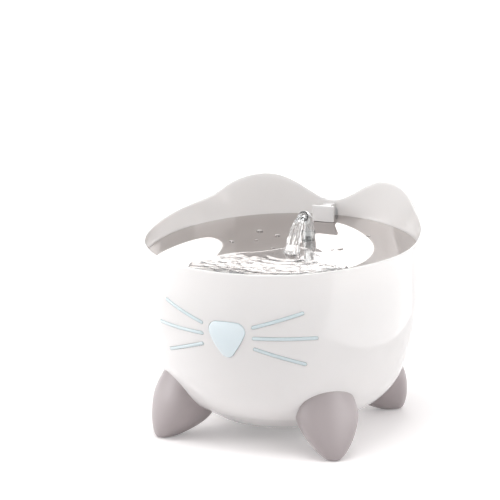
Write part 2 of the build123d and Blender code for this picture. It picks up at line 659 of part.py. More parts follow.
def spout_collar(dish_solid):
    """Clear collar held in the dish by its flange, which closes on the dish's underside."""
    body = disc_z(COLLAR_R, COLLAR_FLANGE_Z, COLLAR_TOP_Z, y=SPOUT_Y)
    body = fillet(body.faces().sort_by(Axis.Z)[-1].edges(), 0.8)
    under = disc_z(COLLAR_FLANGE_R, COLLAR_FLANGE_Z, DISH_Z, y=SPOUT_Y) - dish_above(-DISH_SHEET)
    body += under
    body -= disc_z(RISER_R + 2 * FIT, 100, RISER_TOP_Z + 0.5, y=SPOUT_Y)
    body -= disc_z(NOZZLE_BORE_R, 100, 200, y=SPOUT_Y)
    body -= disc_z(NOZZLE_R + FIT, NOZZLE_BOTTOM_Z, 200, y=SPOUT_Y)
    return body - dish_solid


def dish_above(lift):
    """Everything above the dish's upper face, raised by lift."""
    curve = dish_curve(lift)
    top, floor = BLANK_TOP_Z - DISH_Z, lift - DISH_DEPTH
    section = make_face([
        Line((0, floor), curve @ 0), curve,
        Polyline(curve @ 1, (DISH_R, lift), (DISH_R, top), (0, top), (0, floor)),
    ])
    return dish_frame() * revolve(Plane.XZ * section, Axis.Z)


def nozzle_path():
    """Centre line of the nozzle: up out of the collar, then over to the front."""
    a = radians(NOZZLE_BEND_ANGLE)
    start = Vector(0, SPOUT_Y, NOZZLE_BEND_START_Z)
    mid = start + Vector(0, -NOZZLE_BEND_R * (1 - cos(a / 2)), NOZZLE_BEND_R * sin(a / 2))
    end = start + Vector(0, -NOZZLE_BEND_R * (1 - cos(a)), NOZZLE_BEND_R * sin(a))
    tip = end + Vector(0, -sin(a), cos(a)) * NOZZLE_TIP_L
    return [Line((0, SPOUT_Y, NOZZLE_BOTTOM_Z), start), ThreePointArc(start, mid, end), Line(end, tip)]


def tube(path, outer_r, bore_r):
    """Tube swept along a path of straight runs and arcs that starts upwards."""
    base = Plane(path[0] @ 0, x_dir=(1, 0, 0), z_dir=(0, 0, 1))
    wire = Wire([item.edge() for item in path])
    return sweep(base * Circle(outer_r), path=wire) - sweep(base * Circle(bore_r), path=wire)


def spout_nozzle():
    """Clear bent nozzle that plugs into the collar."""
    return tube(nozzle_path(), NOZZLE_R, NOZZLE_BORE_R)


# ---------------------------------------------------------------- filter

def filter_tray():
    """Tray under the dish with a pocket for the cartridge and a sleeve for the riser."""
    notch_depth = TRAY_FLANGE_R - BOWL_R + DUCT_RIB_D + TRAY_DUCT_GAP
    notch = Pos(0, TRAY_FLANGE_R) * Rectangle(DUCT_W + 2 * TRAY_DUCT_GAP, 2 * notch_depth)
    basin = Circle(TRAY_R) - notch
    flange = Circle(TRAY_FLANGE_R) - notch
    inside = offset(basin, -TRAY_SHEET)
    rim_z = TRAY_TOP_Z - TRAY_SHEET
    body = extrude(Pos(0, 0, TRAY_FLOOR_Z) * basin, amount=TRAY_TOP_Z - TRAY_FLOOR_Z)
    body += extrude(Pos(0, 0, rim_z) * flange, amount=TRAY_SHEET)
    body -= extrude(Pos(0, 0, TRAY_FLOOR_Z + TRAY_SHEET) * inside, amount=20)
    body += disc_z(POCKET_R + TRAY_SHEET, POCKET_FLOOR_Z, TRAY_FLOOR_Z + TRAY_SHEET, y=POCKET_Y)
    body += disc_z(TRAY_SLEEVE_R + TRAY_SHEET, TRAY_FLOOR_Z - 3, TRAY_SLEEVE_TOP_Z, y=SPOUT_Y)
    body -= disc_z(POCKET_R, POCKET_FLOOR_Z + TRAY_SHEET, 200, y=POCKET_Y)
    body -= disc_z(TRAY_SLEEVE_R, 0, 200, y=SPOUT_Y)
    pitch = 2 * (POCKET_R - 6) / POCKET_SLOTS
    for i in range(POCKET_SLOTS):
        x = (i - (POCKET_SLOTS - 1) / 2) * pitch
        length = 2 * sqrt((POCKET_R - 6) ** 2 - x ** 2)
        slot = Pos(x, POCKET_Y, 0) * Rot(0, 0, 90) * SlotOverall(length, POCKET_SLOT_W)
        body -= extrude(Pos(0, 0, POCKET_FLOOR_Z - 1) * slot, amount=TRAY_SHEET + 2)
    return body


def filter_cartridge():
    """Round cartridge: frame, white fleece and carbon bed, by node name."""
    low = POCKET_FLOOR_Z + TRAY_SHEET
    outer_r = POCKET_R - RUN
    inner_r = outer_r - CARTRIDGE_WALL
    high = low + CARTRIDGE_H
    frame = disc_z(outer_r, low, high, y=POCKET_Y) - disc_z(inner_r, low - 1, high + 1, y=POCKET_Y)
    grid = block((-inner_r, inner_r), (POCKET_Y - 1.2, POCKET_Y + 1.2), (low, low + CARTRIDGE_WALL))
    for turn in (0, 60, 120):
        spoke = Pos(0, POCKET_Y, 0) * Rot(0, 0, turn) * Pos(0, -POCKET_Y, 0) * grid
        frame += spoke & disc_z(outer_r - 0.5, low, high, y=POCKET_Y)
    bed_low = low + CARTRIDGE_WALL
    bed_high = bed_low + CARBON_H
    carbon = disc_z(inner_r - FIT, bed_low, bed_high, y=POCKET_Y)
    fleece = disc_z(inner_r - FIT, bed_high, high + 0.6, y=POCKET_Y)
    fleece = fillet(fleece.faces().sort_by(Axis.Z)[-1].edges(), 2.0)
    return {"filter_frame": frame, "filter_carbon": carbon, "filter_fleece": fleece}


# ---------------------------------------------------------------- pump

PUMP_AXIS_Z = PUMP_BOTTOM_Z + PUMP_H / 2


def pump_section(inset, corner):
    """Front outline of the pump, inset all round."""
    return Pos(0, PUMP_AXIS_Z) * RectangleRounded(PUMP_W - 2 * inset, PUMP_H - 2 * inset, corner)


def pump_body():
    """Pump housing: motor pocket, rotor well, impeller chamber and outlet."""
    body = along_y(pump_section(0, PUMP_CORNER_R), PUMP_FRONT_Y, PUMP_BACK_Y)
    pocket = along_y(pump_section(PUMP_WALL, 2.5), PUMP_FRONT_Y - CHAMBER_DEPTH - PUMP_WALL - 3,
                     PUMP_BACK_Y - 1)
    sleeve = disc_y(ROTOR_WELL_R + 1.6, PUMP_FRONT_Y - CHAMBER_DEPTH, ROTOR_WELL_END_Y - 1.6, z=PUMP_AXIS_Z)
    body = (body - pocket) + sleeve
    chamber_y = PUMP_FRONT_Y - CHAMBER_DEPTH
    body -= disc_y(ROTOR_WELL_R, chamber_y + 1, ROTOR_WELL_END_Y, z=PUMP_AXIS_Z)
    body -= disc_y(CHAMBER_R, chamber_y, PUMP_FRONT_Y + 1, z=PUMP_AXIS_Z)
    top_z = PUMP_BOTTOM_Z + PUMP_H
    body += disc_z(NIPPLE_R, top_z - 1, top_z + NIPPLE_H, y=OUTLET_Y)
    body -= disc_z(OUTLET_BORE_R, PUMP_AXIS_Z + CHAMBER_R - 3, top_z + NIPPLE_H + 1, y=OUTLET_Y)
    for x, y in cup_places():
        body -= disc_z(2.4 + FIT, PUMP_BOTTOM_Z - 1, PUMP_BOTTOM_Z + 1.6, x=x, y=y)
    return body


def cup_places():
    """Centres of the four suction cups."""
    y_low, y_high = PUMP_BACK_Y + 9, PUMP_FRONT_Y - 9
    return [(side * (PUMP_W / 2 - 8), y) for side in (-1, 1) for y in (y_low, y_high)]


def suction_cups():
    """Four rubber cups that hold the pump to the bowl's floor."""
    floor_z = BOWL_UNDERSIDE_Z + WALL + FIT
    top = PUMP_BOTTOM_Z
    section = make_face(Polyline(
        (0, top + 1.5), (2.4, top + 1.5), (2.4, top - 0.8), (3.4, top - 1.4), (CUP_R, floor_z + 0.7),
        (CUP_R, floor_z), (CUP_R - 0.9, floor_z), (0, floor_z + 1.8), close=True))
    cup = revolve(Plane.XZ * section, Axis.Z)
    return [Pos(x, y, 0) * cup for x, y in cup_places()]


def motor_parts():
    """Iron core, winding, end cap and cord gland of the pump motor."""
    z = PUMP_AXIS_Z
    leg_x = (ROTOR_WELL_R + 1.6 + RUN, ROTOR_WELL_R + 1.6 + RUN + 5.6)
    back = (PUMP_BACK_Y + 5, PUMP_BACK_Y + 12)
    core = block((-leg_x[1], leg_x[1]), back, (z - 9, z + 9))
    for side in (-1, 1):
        x = sorted((side * leg_x[0], side * leg_x[1]))
        core += block(x, (back[0], PUMP_FRONT_Y - CHAMBER_DEPTH - PUMP_WALL - 4), (z - 9, z + 9))
    coil = block((-8.5, 8.5), (back[0] - 2.6, back[1] + 2.6), (z - 12.5, z + 12.5))
    coil = fillet(coil.edges().filter_by(Axis.X), 2.0)
    coil -= block((-10, 10), (back[0] - FIT, back[1] + FIT), (z - 9 - FIT, z + 9 + FIT))
    cap = along_y(pump_section(0, PUMP_CORNER_R), PUMP_BACK_Y, PUMP_BACK_Y - 2.4)
    cap += along_y(pump_section(PUMP_WALL + FIT, 2.4), PUMP_BACK_Y + 2, PUMP_BACK_Y)
    gland_z = z - 10
    cap -= disc_y(4.0 + FIT, PUMP_BACK_Y - 10, PUMP_BACK_Y + 10, z=gland_z)
    end_y = PUMP_BACK_Y - 2.4
    gland = disc_y(4.0, PUMP_BACK_Y + 2, end_y - 1, z=gland_z)
    gland += disc_y(5.4, end_y, end_y - 1.6, z=gland_z)
    taper = Plane((0, end_y - 1.6, gland_z), x_dir=(1, 0, 0), z_dir=(0, -1, 0))
    gland += loft([taper * Circle(4.2), taper.offset(9) * Circle(3.0)])
    gland -= disc_y(2.2, PUMP_BACK_Y + 5, end_y - 20, z=gland_z)
    return {"motor_core": core, "motor_winding": coil, "motor_end_cap": cap, "pump_cord_gland": gland}


def impeller_parts():
    """Rotor magnet and bladed impeller, turning together on the shaft."""
    z = PUMP_AXIS_Z
    chamber_y = PUMP_FRONT_Y - CHAMBER_DEPTH
    bore = SHAFT_R + SHAFT_GAP
    magnet = disc_y(MAGNET_R, ROTOR_WELL_END_Y + 3, chamber_y - 2.5, z=z)
    magnet = fillet(magnet.edges(), 0.6) - disc_y(bore, -50, 50, z=z)
    disc = disc_y(BLADE_R, chamber_y + 0.8, chamber_y + 2.2, z=z)
    hub = disc_y(4.2, chamber_y - 2.5, chamber_y + 2.2 + BLADE_H, z=z)
    wheel = disc + hub
    plane = Plane((0, chamber_y + 2.0, z), x_dir=(1, 0, 0), z_dir=(0, 1, 0))
    arc = ThreePointArc((3.6, 0), (8.2, 1.9), (BLADE_R - 0.3, 1.0))
    blade = extrude(plane * trace(arc, BLADE_T), amount=BLADE_H + 0.2)
    for i in range(BLADE_COUNT):
        turn = Pos(0, 0, z) * Rot(0, i * 360 / BLADE_COUNT, 0) * Pos(0, 0, -z)
        wheel += turn * blade
    return {"rotor_magnet": magnet, "impeller": wheel - disc_y(bore, -50, 50, z=z)}


def shaft_parts():
    """Fixed ceramic shaft and the two bushes that hold it."""
    z = PUMP_AXIS_Z
    rear = disc_y(4.0, ROTOR_WELL_END_Y + FIT, ROTOR_WELL_END_Y + 2.6, z=z)
    front = disc_y(3.0, PUMP_FRONT_Y - 1.8, PUMP_FRONT_Y + 1.9, z=z)
    hole = disc_y(SHAFT_R + FIT / 2, -50, 50, z=z)
    shaft = disc_y(SHAFT_R, ROTOR_WELL_END_Y + 0.2, PUMP_FRONT_Y + 1.6, z=z)
    return {"impeller_shaft": shaft, "rear_bush": rear - hole, "front_bush": front - hole}


def chamber_cover():
    """Plate that closes the impeller chamber, with spokes round the front bush."""
    z = PUMP_AXIS_Z
    side = PUMP_H - 2 * (GRILLE_WALL + CHAMBER_COVER_GAP)
    plate = along_y(Pos(0, z) * RectangleRounded(side, side, 4), PUMP_FRONT_Y + 2.2, PUMP_FRONT_Y)
    plate += disc_y(CHAMBER_R - FIT, PUMP_FRONT_Y, PUMP_FRONT_Y - 1.6, z=z)
    plate -= disc_y(8.0, PUMP_FRONT_Y - 5, PUMP_FRONT_Y + 5, z=z)
    hub = disc_y(4.4, PUMP_FRONT_Y + 2.2, PUMP_FRONT_Y - 1.6, z=z)
    for turn in (0, 120, 240):
        spoke = block((-0.9, 0.9), (PUMP_FRONT_Y - 1.6, PUMP_FRONT_Y + 2.2), (z, z + 9))
        hub += Pos(0, 0, z) * Rot(0, turn, 0) * Pos(0, 0, -z) * spoke
    return (plate + hub) - disc_y(3.0 + FIT, -50, 50, z=z)


def intake_grille():
    """Snap-on intake cover with slots and the rails of the flow slider."""
    z = PUMP_AXIS_Z
    front = PUMP_FRONT_Y + GRILLE_DEPTH
    body = along_y(pump_section(0, PUMP_CORNER_R), front, PUMP_FRONT_Y)
    body -= along_y(pump_section(GRILLE_WALL, 2.4), front - GRILLE_WALL, PUMP_FRONT_Y - 1)
    pitch = (PUMP_H - 12) / GRILLE_SLOTS
    for i in range(GRILLE_SLOTS):
        slot_z = z + (i - (GRILLE_SLOTS - 1) / 2) * pitch
        slot = Pos(0, slot_z) * SlotOverall(PUMP_W - 12, GRILLE_SLOT_H)
        body -= along_y(slot, front + 5, front - GRILLE_WALL - 1)
    rail_z = SLIDER_H / 2 + RUN
    rail_x = SLIDER_W / 2 + SLIDER_TRAVEL
    for side in (-1, 1):
        inner = z + side * rail_z
        x = (-SLIDER_W / 2 - 1.5, rail_x + 0.5)
        body += block(x, (front - 0.2, front + SLIDER_T + 1.4), sorted((inner, inner + side * 1.6)))
        body += block(x, (front + SLIDER_T + 2 * RUN, front + SLIDER_T + 1.6),
                      sorted((inner - side * 1.4, inner + side * 1.6)))
    return body


def flow_slider():
    """Shutter that slides across the intake slots, with a finger ridge."""
    z = PUMP_AXIS_Z
    back = PUMP_FRONT_Y + GRILLE_DEPTH + RUN / 2
    plate = block((-SLIDER_W / 2, SLIDER_W / 2), (back, back + SLIDER_T),
                  (z - SLIDER_H / 2, z + SLIDER_H / 2))
    for x in (-2.4, 0, 2.4):
        plate += block((x - 0.5, x + 0.5), (back + SLIDER_T - 0.1, back + SLIDER_T + 1.6), (z - 6, z + 6))
    return plate


def prefilter_sponge():
    """Foam block behind the intake slots."""
    z = PUMP_AXIS_Z
    front = PUMP_FRONT_Y + GRILLE_DEPTH - GRILLE_WALL - FIT
    half_w = PUMP_W / 2 - GRILLE_WALL - 1.0
    half_h = PUMP_H / 2 - GRILLE_WALL - 1.0
    foam = block((-half_w, half_w), (PUMP_FRONT_Y + 2.6, front), (z - half_h, z + half_h))
    return fillet(foam.edges().filter_by(Axis.Y), 2.0)


def hose_path():
    """Centre line of the hose: up from the pump, back, and up again under the spout."""
    a = radians(HOSE_BEND_ANGLE)
    r = HOSE_BEND_R
    low = Vector(0, OUTLET_Y, PUMP_BOTTOM_Z + PUMP_H + 0.4)
    first = Vector(0, OUTLET_Y, PUMP_BOTTOM_Z + PUMP_H + NIPPLE_H)
    run = (SPOUT_Y - OUTLET_Y - 2 * r * (1 - cos(a))) / sin(a)
    mid1 = first + Vector(0, r * (1 - cos(a / 2)), r * sin(a / 2))
    end1 = first + Vector(0, r * (1 - cos(a)), r * sin(a))
    start2 = end1 + Vector(0, sin(a), cos(a)) * run
    end2 = start2 + Vector(0, r * (1 - cos(a)), r * sin(a))
    mid2 = end2 - Vector(0, r * (1 - cos(a / 2)), r * sin(a / 2))
    return [Line(low, first), ThreePointArc(first, mid1, end1), Line(end1, start2),
            ThreePointArc(start2, mid2, end2), Line(end2, (0, SPOUT_Y, HOSE_TOP_Z))]


def riser_hose():
    return tube(hose_path(), HOSE_R, NIPPLE_R + FIT)


def riser_pipe():
    """Rigid pipe from the hose up into the collar."""
    low = hose_path()[3].position_at(1).Z + 1
    return disc_z(RISER_R, low, RISER_TOP_Z, y=SPOUT_Y) - disc_z(RISER_BORE_R, 0, 200, y=SPOUT_Y)


# ---------------------------------------------------------------- assembly

def build_parts():
    """Every node of the fountain: name to a solid, or to a list of separate solids."""
    parts = {"bowl_housing": housing()}
    parts["cord_grommet"] = cord_grommet()
    parts["cord_cover"] = cord_cover()
    one_foot, one_pad = foot(), foot_pad()
    for name, angle in FOOT_ANGLES.items():
        parts[f"{name}_foot"] = to_foot(angle) * one_foot
        parts[f"{name}_foot_pad"] = to_foot(angle) * one_pad
    parts["foot_screws"] = foot_screws()
    parts["nose_lens"] = nose_lens()
    parts.update(whiskers())
    parts["light_housing"] = light_housing()
    parts["light_seal"] = light_seal()
    parts.update(light_parts())
    parts["light_screws"] = light_screws()
    parts["drinking_dish"] = dish()
    parts["spout_collar"] = spout_collar(parts["drinking_dish"])
    parts["spout_nozzle"] = spout_nozzle()
    parts["filter_tray"] = filter_tray()
    parts.update(filter_cartridge())
    parts["pump_body"] = pump_body()
    parts["pump_suction_cups"] = suction_cups()
    parts.update(motor_parts())
    parts.update(impeller_parts())
    parts.update(shaft_parts())
    parts["chamber_cover"] = chamber_cover()
    parts["intake_grille"] = intake_grille()
    parts["flow_slider"] = flow_slider()
    parts["prefilter_sponge"] = prefilter_sponge()
    parts["riser_hose"] = riser_hose()
    parts["riser_pipe"] = riser_pipe()
    return parts


os.makedirs("parts", exist_ok=True)
for node, shape in build_parts().items():
    solid = Compound(shape) if isinstance(shape, list) else shape
    export_step(solid, f"parts/{node}.step")
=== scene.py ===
"""Looks of a round cat-faced pet water fountain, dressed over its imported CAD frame.

Every length in the piece classes is in millimetres, in the frame of the CAD model: +Z up, the
face towards -Y, the origin on the floor under the middle of the bowl.
"""
from __future__ import annotations

import logging
from dataclasses import dataclass
from enum import Enum
from functools import cache
from math import asin, atan2, cos, degrees, exp, hypot, pi, radians, sin, sqrt
from typing import Callable, Iterable, Sequence

import bmesh
import bpy
import numpy as np
from mathutils import Euler, Matrix, Vector, noise

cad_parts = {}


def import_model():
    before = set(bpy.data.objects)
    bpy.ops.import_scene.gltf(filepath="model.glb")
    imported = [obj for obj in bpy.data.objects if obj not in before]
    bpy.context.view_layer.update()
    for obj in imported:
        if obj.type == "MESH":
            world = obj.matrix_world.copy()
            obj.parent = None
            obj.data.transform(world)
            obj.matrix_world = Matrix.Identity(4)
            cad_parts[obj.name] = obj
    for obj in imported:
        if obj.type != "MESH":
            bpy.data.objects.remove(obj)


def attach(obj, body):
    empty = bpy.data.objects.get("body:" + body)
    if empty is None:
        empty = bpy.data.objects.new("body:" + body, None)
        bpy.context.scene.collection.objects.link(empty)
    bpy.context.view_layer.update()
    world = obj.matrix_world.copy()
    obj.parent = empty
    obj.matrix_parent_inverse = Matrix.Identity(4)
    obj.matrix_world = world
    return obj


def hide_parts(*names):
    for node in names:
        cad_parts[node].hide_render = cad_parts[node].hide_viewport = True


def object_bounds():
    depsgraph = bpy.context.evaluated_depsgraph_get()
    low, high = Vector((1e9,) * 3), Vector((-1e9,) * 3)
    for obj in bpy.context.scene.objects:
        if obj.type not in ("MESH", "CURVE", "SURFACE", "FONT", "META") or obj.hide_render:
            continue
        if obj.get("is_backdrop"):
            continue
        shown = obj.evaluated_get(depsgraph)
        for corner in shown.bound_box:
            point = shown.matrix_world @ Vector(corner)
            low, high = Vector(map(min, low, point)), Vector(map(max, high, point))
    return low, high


log = logging.getLogger("fountain")

MM = 0.001
FULL = 2 * pi
QUARTER = pi / 2
SMOOTH, CRISP, ROUND = 38.0, 30.0, 60.0  # degrees; sharper edges stay sharp
SPOUT_Y = 61.0
FOOT_SCREW_R = 94.2
FOOT_BOSS_Z = 22.0
FOOT_PLACES = (("front_right", 45), ("rear_right", 135), ("rear_left", 225), ("front_left", 315))
SHARP = 0.01
BOWL_STEPS = 288
CORNERS = ((1, 1), (-1, 1), (-1, -1), (1, -1))
WELD = 2e-6
NEAR_ZERO = 1e-6

Piece = bpy.types.Object
Tree = bpy.types.NodeTree
Node = bpy.types.Node
Socket = bpy.types.NodeSocket
Pair = tuple[float, float]
Pairs = tuple[Pair, ...]
Triple = tuple[float, float, float]
Colour = Triple
Ring = list[Vector]


class Body(str, Enum):
    """Bodies of the fountain that pieces ride on."""

    BOWL = "bowl"
    DISH = "dish"
    NOZZLE = "nozzle"
    DUCT_COVER = "duct_cover"
    CARTRIDGE = "cartridge"
    TRAY = "tray"
    PUMP = "pump"
    ROTOR = "rotor"
    GRILLE = "grille"
    SLIDER = "slider"


class Slot(str, Enum):
    """Material slots of the record."""

    BOWL = "bowl_white"
    FOOT = "foot_taupe"
    PAD = "pad_rubber"
    SCREW = "screw_steel"
    LENS = "lens_blue"
    CAPSULE = "capsule_white"
    SEAL = "seal_rubber"
    BOARD = "board_green"
    LAMP = "lamp_white"
    DISH = "dish_steel"
    CLEAR = "clear_plastic"
    COVER = "cover_white"
    TRAY = "tray_grey"
    FLEECE = "fleece_white"
    CARBON = "carbon_black"
    FRAME = "frame_white"
    PUMP = "pump_black"
    CORE = "core_iron"
    WINDING = "winding_copper"
    MAGNET = "magnet_dark"
    IMPELLER = "impeller_white"
    SHAFT = "shaft_ceramic"
    SPONGE = "sponge_dark"
    HOSE = "hose_clear"


# -------------------- shader groups

@dataclass
class Graph:
    """Adds and joins the nodes of one node tree."""

    tree: Tree

    def join(self, source: Socket, target: Socket) -> None:
        """Links an output to an input."""
        self.tree.links.new(source, target)

    def add(self, kind: str, inputs: dict[object, object] | None = None, **settings: object) -> Node:
        """Adds a node and fills its inputs.

        Args:
            kind: the node's type name.
            inputs: input name or index to a socket or a value.
            **settings: properties to set first.

        Returns:
            The new node.
        """
        node = self.tree.nodes.new(kind)
        for name, value in settings.items():
            setattr(node, name, value)
        for key, value in (inputs or {}).items():
            if isinstance(value, Socket):
                self.join(value, node.inputs[key])
            else:
                node.inputs[key].default_value = value
        return node

    def math(self, operation: str, first: object, second: object) -> Socket:
        """Output of a new Math node whose inputs are sockets or numbers."""
        return self.add("ShaderNodeMath", {0: first, 1: second}, operation=operation).outputs[0]

    def texture(self, kind: str, scale: Socket, **settings: object) -> Node:
        """Adds a texture in object space whose scale comes from a socket."""
        place = self.add("ShaderNodeTexCoord").outputs["Object"]
        return self.add(kind, {"Vector": place, "Scale": scale}, **settings)


def socket_group(name: str, inputs: dict[str, float | Colour], outputs: Sequence[str]
                 ) -> tuple[Graph, Node, Node]:
    """Starts a shader node group with named sockets.

    Args:
        name: the group's name.
        inputs: name and default, a number or a vector, of each input.
        outputs: names of the outputs, all numbers.

    Returns:
        The group's graph, its input node and its output node.
    """
    tree = bpy.data.node_groups.new(name, "ShaderNodeTree")
    for label, value in inputs.items():
        kind = "NodeSocketVector" if isinstance(value, tuple) else "NodeSocketFloat"
        socket = tree.interface.new_socket(name=label, in_out="INPUT", socket_type=kind)
        socket.default_value = value
    for label in outputs:
        tree.interface.new_socket(name=label, in_out="OUTPUT", socket_type="NodeSocketFloat")
    graph = Graph(tree)
    return graph, graph.add("NodeGroupInput"), graph.add("NodeGroupOutput")


class Effects:
    """Shared surface effects, each a node group that is built once."""

    @classmethod
    @cache
    def get(cls, name: str) -> Tree:
        """Returns the effect's node group, made at its first use."""
        return getattr(cls, f"_{name}")()

    @staticmethod
    def _grain() -> Tree:
        """Fine height noise in object space, with a slow tone drift."""
        graph, start, end = socket_group(
            "grain", {"Scale": 900.0, "Detail": 3.0, "Drift Scale": 14.0}, ("Height", "Drift"))
        fine = graph.texture("ShaderNodeTexNoise", start.outputs["Scale"])
        slow = graph.texture("ShaderNodeTexNoise", start.outputs["Drift Scale"])
        graph.join(start.outputs["Detail"], fine.inputs["Detail"])
        graph.join(fine.outputs["Fac"], end.inputs["Height"])
        graph.join(slow.outputs["Fac"], end.inputs["Drift"])
        return graph.tree

    @staticmethod
    def _edge_wear() -> Tree:
        """Mask of rubbed outer edges, broken up by noise."""
        flat, gain = 0.53, 9.0
        graph, start, end = socket_group("edge_wear", {"Amount": 0.5, "Scale": 160.0}, ("Mask",))
        patches = graph.texture("ShaderNodeTexNoise", start.outputs["Scale"])
        shape = graph.add("ShaderNodeNewGeometry")
        edge = graph.math("SUBTRACT", shape.outputs["Pointiness"], flat)
        for factor in (gain, patches.outputs["Fac"], start.outputs["Amount"]):
            edge = graph.math("MULTIPLY", edge, factor)
        graph.join(graph.add("ShaderNodeClamp", {"Value": edge}).outputs[0], end.inputs["Mask"])
        return graph.tree

    @staticmethod
    def _dust() -> Tree:
        """Mask of fine dust and dried drops on faces that look up."""
        graph, start, end = socket_group("dust", {"Amount": 0.2, "Scale": 60.0}, ("Mask",))
        specks = graph.texture("ShaderNodeTexNoise", start.outputs["Scale"])
        specks.inputs["Detail"].default_value = 5.0
        shape = graph.add("ShaderNodeNewGeometry")
        parts = graph.add("ShaderNodeSeparateXYZ", {0: shape.outputs["Normal"]})
        cover = graph.math("MAXIMUM", parts.outputs["Z"], 0.0)
        for factor in (specks.outputs["Fac"], start.outputs["Amount"]):
            cover = graph.math("MULTIPLY", cover, factor)
        graph.join(cover, end.inputs["Mask"])
        return graph.tree

    @staticmethod
    def _brush_lines() -> Tree:
        """Fine rings or lines left by polishing or drawing, as a height."""
        graph, start, end = socket_group(
            "brush_lines", {"Scale": 900.0, "Stretch": (1.0, 1.0, 0.02)}, ("Height",))
        place = graph.add("ShaderNodeTexCoord")
        pull = graph.add("ShaderNodeVectorMath", {0: place.outputs["Object"],
                                                  1: start.outputs["Stretch"]}, operation="MULTIPLY")
        lines = graph.add("ShaderNodeTexNoise",
                          {"Vector": pull.outputs[0], "Scale": start.outputs["Scale"]})
        graph.join(lines.outputs["Fac"], end.inputs["Height"])
        return graph.tree

    @staticmethod
    def _cells() -> Tree:
        """Open cells or packed grains: a height and a mask of the grooves between them, where the finish
        paints shade.
        """
        gap_width = 0.25
        graph, start, end = socket_group("cells", {"Scale": 500.0, "Randomness": 1.0}, ("Height", "Gap Shade"))
        cells = graph.texture("ShaderNodeTexVoronoi", start.outputs["Scale"], feature="DISTANCE_TO_EDGE")
        graph.join(start.outputs["Randomness"], cells.inputs["Randomness"])
        gap_shade = graph.add("ShaderNodeMapRange", {"Value": cells.outputs["Distance"], "From Max": gap_width})
        graph.join(cells.outputs["Distance"], end.inputs["Height"])
        graph.join(gap_shade.outputs[0], end.inputs["Gap Shade"])
        return graph.tree


# -------------------- finishes

SKIN_DEPTH = 0.004
SKIN_TINT = (1.0, 0.95, 0.92)
RELIEF_DEPTH = 0.0006
DUST_COLOUR = (0.62, 0.60, 0.57)
WORN_GAIN, WORN_LIFT = 1.25, 0.05
ROUGH_DRIFT, ROUGH_BASE = 0.3, 0.85


